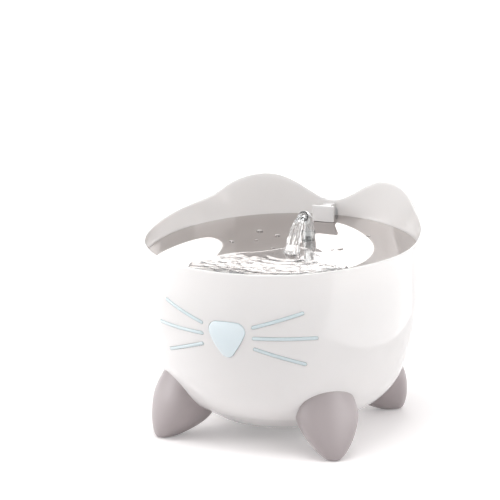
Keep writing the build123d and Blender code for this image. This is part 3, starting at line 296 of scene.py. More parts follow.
@dataclass(frozen=True)
class Finish:
    """A finish that every surface of one material shares.

    The plain numbers are set on the shader's own sockets; the effects only change the colour,
    the roughness and the height over the surface.
    """

    name: str
    colour: Colour
    # second colour: painted shade in the grooves of cells, or the darker lines of fibres and laminations
    second: Colour | None = None
    roughness: float = 0.4
    metallic: float = 0.0
    coat: float = 0.0
    coat_roughness: float = 0.05
    ior: float = 1.5
    transmission: float = 0.0
    sheen: float = 0.0
    subsurface: float = 0.0
    grain: float = 900.0
    relief: float = 0.02
    drift: float = 0.04
    wear: float = 0.0
    dust: float = 0.0
    effect: str = "grain"
    pitch: float = 900.0
    stretch: Triple = (1.0, 1.0, 0.02)

    @cache
    def material(self) -> bpy.types.Material:
        """Builds the material at its first use.

        Returns:
            The finished material.
        """
        material = bpy.data.materials.new(self.name)
        material.use_nodes = True
        shader = material.node_tree.nodes["Principled BSDF"]
        plain = {"Metallic": self.metallic, "IOR": self.ior, "Coat Weight": self.coat,
                 "Coat Roughness": self.coat_roughness, "Transmission Weight": self.transmission,
                 "Sheen Weight": self.sheen, "Subsurface Weight": self.subsurface}
        if self.subsurface:
            plain |= {"Subsurface Scale": SKIN_DEPTH, "Subsurface Radius": SKIN_TINT}
        for socket, value in plain.items():
            shader.inputs[socket].default_value = value
        self._paint(Graph(material.node_tree), shader)
        return material

    def _group(self, graph: Graph, name: str, **values: object) -> Node:
        """Places one shared effect with its own values."""
        return graph.add("ShaderNodeGroup", values, node_tree=Effects.get(name))

    def _blend(self, graph: Graph, mask: Socket, first: object, second: object) -> Socket:
        """Mixes two colours by a mask.

        Args:
            graph: the material's graph.
            mask: the mixing factor.
            first: a colour or a colour socket.
            second: a colour or a colour socket.

        Returns:
            The mixed colour.
        """
        first, second = (value if isinstance(value, Socket) else (*value, 1.0) for value in (first, second))
        mix = graph.add("ShaderNodeMix", {0: mask, 6: first, 7: second}, data_type="RGBA")
        return mix.outputs[2]

    def _tint(self, graph: Graph, shader: Node, grain: Node) -> Socket:
        """Joins the effects that change the colour and the roughness.

        Args:
            graph: the material's graph.
            shader: the shader to feed.
            grain: the placed grain effect.

        Returns:
            The height for the bump.
        """
        deep = tuple(max(0.0, c * (1 - self.drift)) for c in self.colour)
        light = tuple(min(1.0, c * (1 + self.drift)) for c in self.colour)
        colour = self._blend(graph, grain.outputs["Drift"], deep, light)
        height = grain.outputs["Height"]
        if self.effect == "cells":
            cells = self._group(graph, "cells", Scale=self.pitch)
            # painted shade: the grooves between cells take the darker second colour
            colour = self._blend(graph, cells.outputs["Gap Shade"], self.second or deep, colour)
            height = cells.outputs["Height"]
        elif self.effect == "brush_lines":
            lines = self._group(graph, "brush_lines", Scale=self.pitch, Stretch=self.stretch)
            height = lines.outputs["Height"]
            if self.second:
                colour = self._blend(graph, height, self.second, colour)
        if self.wear:
            worn = self._group(graph, "edge_wear", Amount=self.wear)
            pale = tuple(min(1.0, c * WORN_GAIN + WORN_LIFT) for c in self.colour)
            colour = self._blend(graph, worn.outputs["Mask"], colour, pale)
        rough = graph.math("MULTIPLY", grain.outputs["Drift"], self.roughness * ROUGH_DRIFT)
        rough = graph.math("ADD", rough, self.roughness * ROUGH_BASE)
        if self.dust:
            dust = self._group(graph, "dust", Amount=self.dust)
            colour = self._blend(graph, dust.outputs["Mask"], colour, DUST_COLOUR)
            rough = graph.math("ADD", rough, dust.outputs["Mask"])
        graph.join(colour, shader.inputs["Base Color"])
        graph.join(rough, shader.inputs["Roughness"])
        return height

    def _paint(self, graph: Graph, shader: Node) -> None:
        """Sets the colour and roughness, plain or with their effects, and the fine relief."""
        grain = self._group(graph, "grain", Scale=self.grain)
        height = grain.outputs["Height"]
        if self.drift:
            height = self._tint(graph, shader, grain)
        else:
            shader.inputs["Base Color"].default_value = (*self.colour, 1.0)
            shader.inputs["Roughness"].default_value = self.roughness
        if self.relief:
            bump = graph.add("ShaderNodeBump", {"Strength": self.relief,
                                                "Distance": RELIEF_DEPTH, "Height": height})
            graph.join(bump.outputs["Normal"], shader.inputs["Normal"])


BOWL_GLOSS = Finish("bowl_gloss_white", (0.885, 0.868, 0.860), roughness=0.075, coat=0.35, subsurface=0.35,
                    grain=260.0, relief=0.012, drift=0.008, dust=0.02)
FOOT_SATIN = Finish("foot_satin_taupe", (0.437, 0.389, 0.394), roughness=0.36, coat=0.10,
                    coat_roughness=0.25, grain=1800.0, relief=0.10, drift=0.02, wear=0.25)
# Same pale blue moulding as the whiskers, painted lighter all over: a painted highlight on the nose.
NOSE_BLUE_PAINTED_HIGHLIGHT = Finish("nose_blue_painted_highlight", (0.75, 0.86, 0.91), roughness=0.05, coat=1.0, ior=1.6,
                   subsurface=0.25, grain=60.0, relief=0.01, drift=0.03)
LENS_BLUE = Finish("lens_pale_blue", (0.67, 0.78, 0.82), roughness=0.07, coat=0.8, subsurface=0.25,
                   grain=220.0, drift=0.05)
DISH_POLISH = Finish("dish_mirror_polish", (0.52, 0.487, 0.473), roughness=0.03, metallic=1.0,
                     effect="brush_lines", pitch=500.0, stretch=(1.0, 1.0, 1.0),
                     relief=0.004, drift=0.01)
CLEAR_MOULD = Finish("clear_moulding", (0.97, 0.985, 0.99), roughness=0.03, transmission=0.94,
                     ior=1.46, grain=150.0, relief=0.01, drift=0.0)
WATER = Finish("clear_water", (0.985, 0.995, 1.0), roughness=0.005, transmission=0.98, ior=1.33,
               grain=90.0, relief=0.01, drift=0.0)
COVER_GLOSS = Finish("cover_gloss_white", (0.80, 0.785, 0.785), roughness=0.14, coat=0.3,
                     grain=300.0, relief=0.015, drift=0.01)
TRAY_GREY = Finish("tray_pale_grey", (0.62, 0.63, 0.65), roughness=0.30, grain=700.0,
                   relief=0.05, drift=0.03, dust=0.08)
CAPSULE_WHITE = Finish("capsule_white", (0.80, 0.80, 0.80), roughness=0.32,
                       relief=0.05, drift=0.02, wear=0.2)
FRAME_WHITE = Finish("frame_white", (0.82, 0.82, 0.81), roughness=0.42, relief=0.06, drift=0.03)
FLEECE = Finish("fleece_white", (0.84, 0.84, 0.81), second=(0.62, 0.61, 0.57), roughness=0.92,
                sheen=0.35, effect="brush_lines", stretch=(1.0, 0.35, 1.0),
                relief=0.9, drift=0.06)
# second: painted shade in the gaps between the granules
CARBON = Finish("carbon_granules", (0.035, 0.035, 0.04), second=(0.008, 0.008, 0.009), roughness=0.55,
                effect="cells", pitch=620.0, relief=0.9, drift=0.2)
PUMP_BLACK = Finish("pump_satin_black", (0.035, 0.038, 0.042), roughness=0.42, grain=2200.0,
                    relief=0.16, drift=0.05, wear=0.35, dust=0.05)
IRON_STACK = Finish("iron_laminations", (0.27, 0.27, 0.28), second=(0.12, 0.12, 0.125), roughness=0.48,
                    metallic=1.0, effect="brush_lines", pitch=1500.0, stretch=(0.01, 0.01, 1.0),
                    relief=0.35, drift=0.05)
COPPER_WIRE = Finish("copper_wire", (0.70, 0.33, 0.15), roughness=0.26, metallic=1.0, coat=0.5,
                     grain=1200.0, relief=0.03, drift=0.08)
MAGNET = Finish("magnet_ferrite", (0.055, 0.055, 0.06), roughness=0.5, grain=1600.0,
                relief=0.2, drift=0.1, wear=0.4)
IMPELLER_WHITE = Finish("impeller_white", (0.78, 0.79, 0.79), roughness=0.3, relief=0.04, drift=0.02)
CERAMIC = Finish("shaft_ceramic", (0.88, 0.87, 0.83), roughness=0.12, coat=0.3, grain=1500.0,
                 relief=0.01, drift=0.02)
# second: painted shade in the pores
FOAM = Finish("foam_dark", (0.06, 0.065, 0.07), second=(0.012, 0.012, 0.014), roughness=0.95,
              effect="cells", relief=1.0, drift=0.15)
HOSE = Finish("hose_silicone", (0.72, 0.75, 0.77), roughness=0.28, subsurface=0.5, ior=1.41,
              grain=400.0, relief=0.03, drift=0.02)
RUBBER = Finish("pad_rubber", (0.21, 0.195, 0.195), roughness=0.82, grain=2500.0,
                relief=0.25, drift=0.06, dust=0.08)
SEAL = Finish("seal_silicone", (0.55, 0.56, 0.57), roughness=0.6, grain=1800.0, relief=0.12, drift=0.03)
SCREW_ZINC = Finish("screw_zinc", (0.60, 0.60, 0.61), roughness=0.3, metallic=1.0,
                    effect="brush_lines", pitch=3000.0, stretch=(1.0, 1.0, 0.1),
                    relief=0.1, drift=0.05, wear=0.5)
# second: painted shade in the grooves between the cells
BOARD = Finish("board_green", (0.035, 0.17, 0.085), second=(0.02, 0.10, 0.05), roughness=0.3, coat=0.4,
               effect="cells", pitch=260.0, relief=0.1, drift=0.05)
LAMP = Finish("lamp_resin", (0.86, 0.91, 0.95), roughness=0.12, coat=0.4, subsurface=0.4,
              grain=600.0, relief=0.01, drift=0.02)


def dress(piece: Piece, finish: Finish, slot: Slot, body: Body, *nodes: str) -> None:
    """Gives a piece its finish, body and the CAD nodes that it stands for.

    Args:
        piece: the finished mesh object.
        finish: the finish of all its faces.
        slot: the record's material slot; not used.
        body: the body that it rides on.
        *nodes: CAD nodes that it replaces.
    """
    piece.data.materials.clear()
    piece.data.materials.append(finish.material())
    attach(piece, body.value)
    if nodes:
        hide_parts(*nodes)
    log.info("%s: %d faces, %s", piece.name, len(piece.data.polygons), finish.name)


# -------------------- mesh making

def link(name: str, data: bpy.types.ID) -> Piece:
    """Object of some data, linked to the scene.

    Args:
        name: the object's name.
        data: its mesh, lamp or camera.

    Returns:
        The object.
    """
    made = bpy.data.objects.new(name, data)
    bpy.context.scene.collection.objects.link(made)
    return made


def rings_to_mesh(name: str, rings: Sequence[Ring]) -> Piece:
    """Skins rings of points into one object; a ring of one point becomes a pole.

    Args:
        name: the object's name.
        rings: closed rings of points in millimetres, each of one or of equally many points.

    Returns:
        The object, with outward faces.
    """
    mesh = bmesh.new()
    rows = [[mesh.verts.new(Vector(p) * MM) for p in ring] for ring in rings]
    for first, second in zip(rows, rows[1:]):
        count = max(len(first), len(second))
        for i in range(count):
            j = (i + 1) % count
            corners = []
            for row, index in ((first, i), (first, j), (second, j), (second, i)):
                vert = row[index if len(row) > 1 else 0]
                if vert not in corners:
                    corners.append(vert)
            if len(corners) > 2:
                mesh.faces.new(corners)
    return finish_mesh(name, mesh)


def finish_mesh(name: str, mesh: bmesh.types.BMesh, angle: float = SMOOTH, recalc: bool = True) -> Piece:
    """Turns a bmesh into a smooth-shaded object whose sharp edges stay sharp.

    Args:
        name: the object's name.
        mesh: the bmesh, which is freed.
        angle: edges over this angle in degrees stay sharp.
        recalc: whether the faces are turned outwards.

    Returns:
        The object.
    """
    bmesh.ops.remove_doubles(mesh, verts=mesh.verts, dist=WELD)
    if recalc:
        bmesh.ops.recalc_face_normals(mesh, faces=mesh.faces)
        if mesh.calc_volume(signed=True) < 0:
            bmesh.ops.reverse_faces(mesh, faces=mesh.faces)
    data = bpy.data.meshes.new(name)
    mesh.to_mesh(data)
    mesh.free()
    shade(data, angle)
    return link(name, data)


def shade(data: bpy.types.Mesh, angle: float = SMOOTH) -> None:
    """Shades a mesh smooth up to an angle in degrees."""
    data.polygons.foreach_set("use_smooth", [True] * len(data.polygons))
    data.set_sharp_from_angle(angle=radians(angle))
    data.update()


def level_ring(centre: Sequence[float], radius: float, z: float, steps: int) -> Ring:
    """Level circle of points round an upright axis."""
    turns = (FULL * k / steps for k in range(steps))
    return [Vector((centre[0] + radius * cos(t), centre[1] + radius * sin(t), z)) for t in turns]


def lathe(name: str, profile: Sequence[Pair], steps: int = 64, centre: Pair = (0.0, 0.0)) -> Piece:
    """Turns a closed profile of (radius, height) points about an upright axis.

    Args:
        name: the object's name.
        profile: the closed outline; points on the axis have the radius 0.
        steps: steps round the axis.
        centre: where the axis stands.

    Returns:
        The turned object.
    """
    rings = [level_ring(centre, radius, z, steps) if radius else [Vector((*centre, z))]
             for radius, z in (*profile, profile[0])]
    return rings_to_mesh(name, rings)


def stepped_round(name: str, low: float, parts: Sequence[Pair], steps: int, centre: Pair) -> Piece:
    """Upright round solid with steps, such as the cutter of a stepped hole.

    Args:
        name: the object's name.
        low: height of its lower end.
        parts: radius and upper end of each part, from below.
        steps: steps round the axis.
        centre: where the axis stands.

    Returns:
        The solid.
    """
    profile = [(0.0, low)]
    for radius, high in parts:
        profile += [(radius, profile[-1][1]), (radius, high)]
    return lathe(name, profile + [(0.0, profile[-1][1])], steps, centre)


def rounded_box(half_x: float, half_y: float, radius: float, steps: int) -> list[Pair]:
    """Outline of a rectangle about the origin, with steps round each of its corners."""
    return [(a * (half_x - radius) + radius * cos(t), b * (half_y - radius) + radius * sin(t))
            for quarter, (a, b) in enumerate(CORNERS)
            for t in (QUARTER * (quarter + k / steps) for k in range(steps + 1))]


def prism(name: str, outline: Sequence[Vector], way: Vector) -> Piece:
    """Straight prism of a flat outline.

    Args:
        name: the object's name.
        outline: corners of one end, in order, in millimetres.
        way: from that end to the other.

    Returns:
        The closed prism.
    """
    mesh = bmesh.new()
    ends = [[mesh.verts.new((Vector(p) + shift) * MM) for p in outline] for shift in (Vector(), way)]
    count = len(outline)
    for i in range(count):
        j = (i + 1) % count
        mesh.faces.new((ends[0][i], ends[0][j], ends[1][j], ends[1][i]))
    mesh.faces.new(ends[0][::-1])
    mesh.faces.new(ends[1])
    return finish_mesh(name, mesh)


def block_mesh(name: str, x: Sequence[float], y: Sequence[float], z: Sequence[float]) -> Piece:
    """Box between three (low, high) pairs, used as a cutter."""
    square = [Vector((a, b, z[0])) for a, b in ((x[0], y[0]), (x[1], y[0]), (x[1], y[1]), (x[0], y[1]))]
    return prism(name, square, Vector((0, 0, z[1] - z[0])))


def smooth_curve(points: Sequence[Sequence[float]], closed: bool) -> Callable[[float], np.ndarray]:
    """Cubic spline through points, spaced by their distances.

    Args:
        points: points of any dimension.
        closed: whether the spline runs round to its first point.

    Returns:
        A function from 0..1 along the spline to a point.
    """
    knots = np.array(points, float)
    if closed:
        knots = np.vstack([knots, knots[:1]])
    steps = np.linalg.norm(np.diff(knots, axis=0), axis=1)
    place = np.concatenate([[0.0], np.cumsum(steps)])
    count = len(knots)
    system = np.zeros((count, count))
    right = np.zeros((count, knots.shape[1]))
    for i in range(1, count - 1):
        before, after = steps[i - 1], steps[i]
        system[i, i - 1:i + 2] = before, 2 * (before + after), after
        right[i] = 6 * ((knots[i + 1] - knots[i]) / after - (knots[i] - knots[i - 1]) / before)
    if closed:
        before, after = steps[-1], steps[0]
        system[0, 0], system[0, 1], system[0, -2] = 2 * (before + after), after, before
        right[0] = 6 * ((knots[1] - knots[0]) / after - (knots[-1] - knots[-2]) / before)
        system[-1, 0], system[-1, -1] = 1, -1
    else:
        system[0, 0] = system[-1, -1] = 1
    bend = np.linalg.solve(system, right)

    def at(share: float) -> np.ndarray:
        """Point at a share of the way along the spline."""
        along = (share % 1.0 if closed else min(max(share, 0.0), 1.0)) * place[-1]
        i = int(min(max(np.searchsorted(place, along) - 1, 0), count - 2))
        h = steps[i]
        a, b = (place[i + 1] - along) / h, (along - place[i]) / h
        return (a * knots[i] + b * knots[i + 1]
                + ((a ** 3 - a) * bend[i] + (b ** 3 - b) * bend[i + 1]) * h * h / 6)

    return at


def tube(name: str, path: Sequence[Vector], outer: float, bore: float = 0.0,
         steps: int = 40, lip: float = 0.4) -> Piece:
    """Tube or rod along a path in the Y-Z plane, with rounded ends.

    Args:
        name: the object's name.
        path: points of the centre line.
        outer: outer radius.
        bore: inner radius, or 0 for a rod.
        steps: steps round the tube.
        lip: rounding of the end edges.

    Returns:
        The tube.
    """
    side = Vector((1.0, 0.0, 0.0))

    def ring(index: int, radius: float, shift: float = 0.0) -> Ring:
        """Circle round one point of the path, shifted along it."""
        ahead = path[min(index + 1, len(path) - 1)] - path[max(index - 1, 0)]
        ahead.normalize()
        up = ahead.cross(side)
        centre = path[index] + ahead * shift
        turns = [FULL * k / steps for k in range(steps)]
        return [centre + (side * cos(t) + up * sin(t)) * radius for t in turns]

    last, part = len(path) - 1, lip * 0.3
    rings = [ring(0, outer - lip), ring(0, outer - part, part), ring(0, outer, lip)]
    rings += [ring(i, outer) for i in range(1, last)]
    rings += [ring(last, outer, -lip), ring(last, outer - part, -part), ring(last, outer - lip)]
    if bore:
        rings += [ring(last, bore)] + [ring(i, bore) for i in range(last - 1, 0, -1)] + [ring(0, bore)]
        rings.append(rings[0])
    else:
        rings = [[path[0]]] + rings + [[path[last]]]
    return rings_to_mesh(name, rings)


def carve(piece: Piece, cutters: Iterable[Piece],
          operation: str = "DIFFERENCE", angle: float = SMOOTH) -> Piece:
    """Cuts cutters out of a piece, or joins them to it, and removes them.

    Args:
        piece: the piece to change.
        cutters: the closed meshes to use.
        operation: DIFFERENCE or UNION.
        angle: smoothing angle of the result in degrees.

    Returns:
        The changed piece.
    """
    used = list(cutters)
    for cutter in used:
        modifier = piece.modifiers.new(cutter.name, "BOOLEAN")
        modifier.operation = operation
        modifier.solver = "EXACT"
        modifier.object = cutter
    apply_modifiers(piece)
    for cutter in used:
        bpy.data.objects.remove(cutter)
    shade(piece.data, angle)
    return piece


def apply_modifiers(piece: Piece) -> None:
    """Replaces the piece's mesh by its evaluated result and drops its modifiers."""
    graph = bpy.context.evaluated_depsgraph_get()
    result = bpy.data.meshes.new_from_object(piece.evaluated_get(graph))
    old = piece.data
    piece.modifiers.clear()
    piece.data = result
    bpy.data.meshes.remove(old)


def join(name: str, pieces: Sequence[Piece], angle: float = SMOOTH) -> Piece:
    """Joins separate solids into one object.

    Args:
        name: the name of the joined object.
        pieces: the objects, which are removed.
        angle: smoothing angle in degrees.

    Returns:
        The joined object.
    """
    mesh = bmesh.new()
    for piece in pieces:
        mesh.from_mesh(piece.data)
        bpy.data.objects.remove(piece)
    return finish_mesh(name, mesh, angle, recalc=False)


def refined_copy(node: str, angle: float = 34.0, edge: float = 0.0) -> Piece:
    """Merged, smooth-shaded copy of a CAD node's mesh, with softened edges.

    Args:
        node: the CAD node.
        angle: edges over this angle in degrees stay sharp or are softened.
        edge: width of the softened edges in millimetres, or 0.

    Returns:
        The copy, at the node's place.
    """
    mesh = bmesh.new()
    mesh.from_mesh(bpy.data.objects[node].data)
    bmesh.ops.remove_doubles(mesh, verts=mesh.verts, dist=NEAR_ZERO)
    bmesh.ops.dissolve_limit(mesh, angle_limit=radians(0.5), verts=mesh.verts, edges=mesh.edges)
    piece = finish_mesh(f"{node}_dressed", mesh, angle, recalc=False)
    if edge:
        bevel = piece.modifiers.new("soft edges", "BEVEL")
        bevel.width = edge * MM
        bevel.segments = 2
        bevel.limit_method = "ANGLE"
        bevel.angle_limit = radians(angle)
        apply_modifiers(piece)
        shade(piece.data, angle)
    return piece


# -------------------- geometry-node trees

class GeoTree(Graph):
    """A Geometry Nodes tree with named inputs that ends in Realize Instances and Set Material."""

    def __init__(self, name: str) -> None:
        """Makes the empty tree with its geometry sockets."""
        super().__init__(bpy.data.node_groups.new(name, "GeometryNodeTree"))
        for way in ("INPUT", "OUTPUT"):
            self.tree.interface.new_socket(name="Geometry", in_out=way, socket_type="NodeSocketGeometry")
        self.start = self.add("NodeGroupInput")
        self.sockets: dict[str, str] = {}

    @property
    def source(self) -> Socket:
        """The geometry that enters the tree."""
        return self.start.outputs["Geometry"]

    def input(self, label: str, kind: str) -> Socket:
        """Adds a named input.

        Args:
            label: the input's name.
            kind: the end of its socket type's name.

        Returns:
            The matching socket of the group's input node.
        """
        socket = self.tree.interface.new_socket(name=label, in_out="INPUT", socket_type=f"NodeSocket{kind}")
        self.sockets[label] = socket.identifier
        return self.start.outputs[label]

    def close(self, geometry: Socket) -> None:
        """Ends the tree: realised instances, then the material input."""
        realised = self.add("GeometryNodeRealizeInstances", {"Geometry": geometry})
        set_material = self.add("GeometryNodeSetMaterial", {
            "Geometry": realised.outputs[0], "Material": self.input("Material", "Material")})
        self.add("NodeGroupOutput", {0: set_material.outputs[0]})

    def run(self, name: str, source: Piece, values: dict[str, object], finish: Finish,
            angle: float = SMOOTH) -> Piece:
        """Runs the tree on a source object and keeps the result as a plain mesh.

        Args:
            name: the result's name.
            source: the object whose mesh enters the tree and takes the result.
            values: the named inputs.
            finish: the finish for the Material input.
            angle: smoothing angle in degrees.

        Returns:
            The plain mesh object.
        """
        source.name = name
        modifier = source.modifiers.new(self.tree.name, "NODES")
        modifier.node_group = self.tree
        for label, value in {**values, "Material": finish.material()}.items():
            modifier[self.sockets[label]] = value
        apply_modifiers(source)
        source.data.name = name
        shade(source.data, angle)
        return source


def points_object(name: str, points: Sequence[Vector], turns: Sequence[float]) -> Piece:
    """Object of loose points for a tree to place instances on.

    Args:
        name: the object's name.
        points: places in millimetres.
        turns: turn about +Z of each instance, in radians.

    Returns:
        The object.
    """
    data = bpy.data.meshes.new(name)
    data.from_pydata([p * MM for p in points], [], [])
    data.attributes.new("turn", "FLOAT", "POINT").data.foreach_set("value", turns)
    return link(name, data)


def repeat_tree() -> GeoTree:
    """Tree that stands one unit object on every point, turned by the point's own turn."""
    tree = GeoTree("repeat_on_points")
    unit = tree.input("Unit", "Object")
    scale = tree.input("Scale", "Float")
    info = tree.add("GeometryNodeObjectInfo", {"Object": unit})
    turn = tree.add("GeometryNodeInputNamedAttribute", {"Name": "turn"}, data_type="FLOAT")
    euler = tree.add("ShaderNodeCombineXYZ", {"Z": turn.outputs["Attribute"]})
    place = tree.add("GeometryNodeInstanceOnPoints", {
        "Points": tree.source, "Instance": info.outputs["Geometry"],
        "Rotation": euler.outputs[0], "Scale": scale})
    tree.close(place.outputs[0])
    return tree


def winding_tree() -> GeoTree:
    """Tree that lays turns of round wire side by side from one closed turn."""
    tree = GeoTree("wire_turns")
    turns = tree.input("Turns", "Int")
    pitch = tree.input("Pitch", "Float")
    wire = tree.input("Wire Radius", "Float")
    offset = tree.add("ShaderNodeCombineXYZ", {"X": pitch})
    row = tree.add("GeometryNodeMeshLine", {"Count": turns, "Offset": offset.outputs[0]})
    loop = tree.add("GeometryNodeMeshToCurve", {"Mesh": tree.source})
    place = tree.add("GeometryNodeInstanceOnPoints",
                     {"Points": row.outputs[0], "Instance": loop.outputs[0]})
    curves = tree.add("GeometryNodeRealizeInstances", {"Geometry": place.outputs[0]})
    circle = tree.add("GeometryNodeCurvePrimitiveCircle", {"Resolution": 8, "Radius": wire})
    mesh = tree.add("GeometryNodeCurveToMesh",
                    {"Curve": curves.outputs[0], "Profile Curve": circle.outputs[0]})
    tree.close(mesh.outputs[0])
    return tree


def scatter_tree() -> GeoTree:
    """Tree that scatters small uneven grains over the faces of a mesh and keeps the mesh."""
    tree = GeoTree("scattered_grains")
    density = tree.input("Density", "Float")
    size = tree.input("Grain Size", "Float")
    seed = tree.input("Seed", "Int")
    spread = tree.add("GeometryNodeDistributePointsOnFaces", {
        "Mesh": tree.source, "Density": density, "Seed": seed})
    grain = tree.add("GeometryNodeMeshIcoSphere", {"Radius": size, "Subdivisions": 1})
    smallest, largest = (0.5, 0.5, 0.4), (1.3, 1.2, 0.9)
    jitter = tree.add("FunctionNodeRandomValue", {"Seed": seed, 0: smallest, 1: largest},
                      data_type="FLOAT_VECTOR")
    place = tree.add("GeometryNodeInstanceOnPoints", {
        "Points": spread.outputs["Points"], "Instance": grain.outputs[0],
        "Rotation": spread.outputs["Rotation"], "Scale": jitter.outputs[0]})
    both = tree.add("GeometryNodeJoinGeometry")
    for part in (place.outputs[0], tree.source):
        tree.join(part, both.inputs[0])
    tree.close(both.outputs[0])
    return tree


def slot_cut_tree() -> GeoTree:
    """Tree that cuts one cutter, repeated along an arc, out of a mesh."""
    tree = GeoTree("slots_on_an_arc")
    unit = tree.input("Cutter", "Object")
    count = tree.input("Count", "Int")
    pitch = tree.input("Pitch Angle", "Float")
    info = tree.add("GeometryNodeObjectInfo", {"Object": unit})
    row = tree.add("GeometryNodeMeshLine", {"Count": count, "Offset": (0.0, 0.0, 0.0)})
    half = tree.math("MULTIPLY", tree.math("SUBTRACT", count, 1.0), 0.5)
    step = tree.math("SUBTRACT", tree.add("GeometryNodeInputIndex").outputs[0], half)
    euler = tree.add("ShaderNodeCombineXYZ", {"Z": tree.math("MULTIPLY", step, pitch)})
    place = tree.add("GeometryNodeInstanceOnPoints", {
        "Points": row.outputs[0], "Instance": info.outputs["Geometry"],
        "Rotation": euler.outputs[0]})
    cutters = tree.add("GeometryNodeRealizeInstances", {"Geometry": place.outputs[0]})
    cut = tree.add("GeometryNodeMeshBoolean", {"Mesh 1": tree.source, 1: cutters.outputs[0]},
                   operation="DIFFERENCE")
    tree.close(cut.outputs[0])
    return tree


# -------------------- forms shared by pieces

@dataclass(frozen=True)
class BowlForm:
    """The bowl's turned form and its rim line."""

    rim_r: float = 122.0
    underside_z: float = 12.0
    floor_r: float = 52.0
    corner_r: float = 20.0
    cone_angle: float = 30.5
    cone_length: float = 24.2
    belly_r: float = 53.0
    belly_end_angle: float = 66.5
    wall: float = 2.6
    floor_points: int = 8
    arc_points: tuple[int, int, int] = (7, 18, 40)
    rim_samples: int = 720
    rim_stations: Pairs = (
        (0, 161.5), (30, 162.6), (60, 166.3), (90, 171.4), (106, 177.2), (118, 182.0),
        (126, 186.8), (134, 196.0), (142, 201.6), (150, 203.5), (158, 200.6), (167, 191.2),
        (174, 183.0), (180, 180.0))

    def arcs(self) -> list[tuple[float, float, float, float, float]]:
        """Arcs of the outer profile: centre radius and height, radius, start and end angle."""
        a, b = radians(self.cone_angle), radians(self.belly_end_angle)
        r1 = self.floor_r + self.corner_r * sin(a) + self.cone_length * cos(a)
        z1 = self.underside_z + self.corner_r * (1 - cos(a)) + self.cone_length * sin(a)
        r2, z2 = r1 - self.belly_r * sin(a), z1 + self.belly_r * cos(a)
        r3, z3 = r2 + self.belly_r * sin(b), z2 - self.belly_r * cos(b)
        upper = (self.rim_r - r3) / (1 - sin(b))
        return [(self.floor_r, self.underside_z + self.corner_r, self.corner_r, 0.0, a),
                (r2, z2, self.belly_r, a, b),
                (self.rim_r - upper, z3 + upper * cos(b), upper, b, pi / 2)]

    def profile(self, inset: float) -> list[Pair]:
        """Points (radius, height) from the middle of the floor to where the wall turns upright.

        Args:
            inset: distance in from the outer face.

        Returns:
            The points, from the axis outwards.
        """
        points = [(self.floor_r * k / self.floor_points, self.underside_z + inset)
                  for k in range(self.floor_points)]
        for (r, z, radius, start, end), count in zip(self.arcs(), self.arc_points):
            for k in range(count + 1):
                angle = start + (end - start) * k / count
                points.append((r + (radius - inset) * sin(angle), z - (radius - inset) * cos(angle)))
        return points

    def radius(self, z: float, inset: float = 0.0) -> float:
        """Radius of the face at a height, moved in by inset."""
        for r, mid, radius, start, end in self.arcs():
            low, high = (mid - (radius - inset) * cos(t) for t in (start, end))
            if low <= z <= high:
                return r + sqrt(max((radius - inset) ** 2 - (mid - z) ** 2, 0.0))
        if z > self.arcs()[-1][1]:
            return self.rim_r - inset
        points = self.profile(inset)
        for (ra, za), (rb, zb) in zip(points, points[1:]):
            if za <= z <= zb and zb > za:
                return ra + (rb - ra) * (z - za) / (zb - za)
        return 0.0

    def height(self, r: float, inset: float = 0.0) -> float:
        """Height of the lower wall at a radius, moved in by inset."""
        reach, rise = zip(*self.profile(inset))
        return float(np.interp(r, reach, rise))

    def rim_height(self) -> Callable[[float], float]:
        """Function from an angle round the bowl, in degrees from the face, to the rim's height."""
        half = list(self.rim_stations)
        stations = half + [(360 - a, z) for a, z in reversed(half[1:-1])]
        ring = [(self.rim_r * sin(radians(a)), -self.rim_r * cos(radians(a)), z) for a, z in stations]
        curve = smooth_curve(ring, closed=True)
        samples = np.array([curve(k / self.rim_samples) for k in range(self.rim_samples)])
        angles = np.degrees(np.arctan2(samples[:, 0], -samples[:, 1])) % 360
        order = np.argsort(angles)
        return lambda angle: float(np.interp(angle % 360, angles[order], samples[order, 2], period=360))

    def front_point(self, x: float, z: float, inset: float) -> Vector:
        """Point of the front face above (x, z), moved in by inset."""
        r = self.radius(z, inset)
        return Vector((x, -sqrt(max(r * r - x * x, 0.0)), z))


BOWL = BowlForm()


@dataclass(frozen=True)
class DishForm:
    """The drinking dish's tilted, hollow form."""

    z: float = 156.0
    tilt: float = 5.0
    sheet: float = 1.0
    rim_r: float = 118.5
    edge_r: float = 116.4
    flange_r: float = 115.0
    bend_r: float = 80.0
    flat_r: float = 40.0
    depth: float = 9.0

    def hollow(self, r: float) -> float:
        """Height of the upper face over the edge plane at a radius."""
        if r <= self.flat_r:
            return -self.depth
        if r >= self.flange_r:
            return 0.0
        h1, h2 = self.bend_r - self.flat_r, self.flange_r - self.bend_r
        rise = self.depth / (h1 + h2) * 2
        mid = -self.depth + rise * h1 / 2
        slope = 1.5 * ((mid + self.depth) / h1 ** 2 - mid / h2 ** 2) / (1 / h1 + 1 / h2)
        if r < self.bend_r:
            t, z0, z1, h, m0, m1 = (r - self.flat_r) / h1, -self.depth, mid, h1, 0.0, slope
        else:
            t, z0, z1, h, m0, m1 = (r - self.bend_r) / h2, mid, 0.0, h2, slope, 0.0
        return ((2 * t ** 3 - 3 * t ** 2 + 1) * z0 + (t ** 3 - 2 * t ** 2 + t) * h * m0
                + (3 * t ** 2 - 2 * t ** 3) * z1 + (t ** 3 - t ** 2) * h * m1)

    def frame(self) -> Matrix:
        """Matrix of the tilted edge plane, in millimetres."""
        return Matrix.Translation((0, 0, self.z)) @ Matrix.Rotation(radians(self.tilt), 4, "X")

    def top_z(self, x: float, y: float) -> float:
        """Height of the upper face over a place on the floor."""
        lean = radians(self.tilt)
        own_y = y
        for _ in range(4):
            sag = self.hollow(hypot(x, own_y))
            own_y = (y + sag * sin(lean)) / cos(lean)
        return self.z + own_y * sin(lean) + sag * cos(lean)


DISH = DishForm()


def polar(angle: float, radius: float, z: float = 0.0) -> Vector:
    """Point at an angle in degrees round the bowl from the face."""
    a = radians(angle)
    return Vector((radius * sin(a), -radius * cos(a), z))


# -------------------- bowl

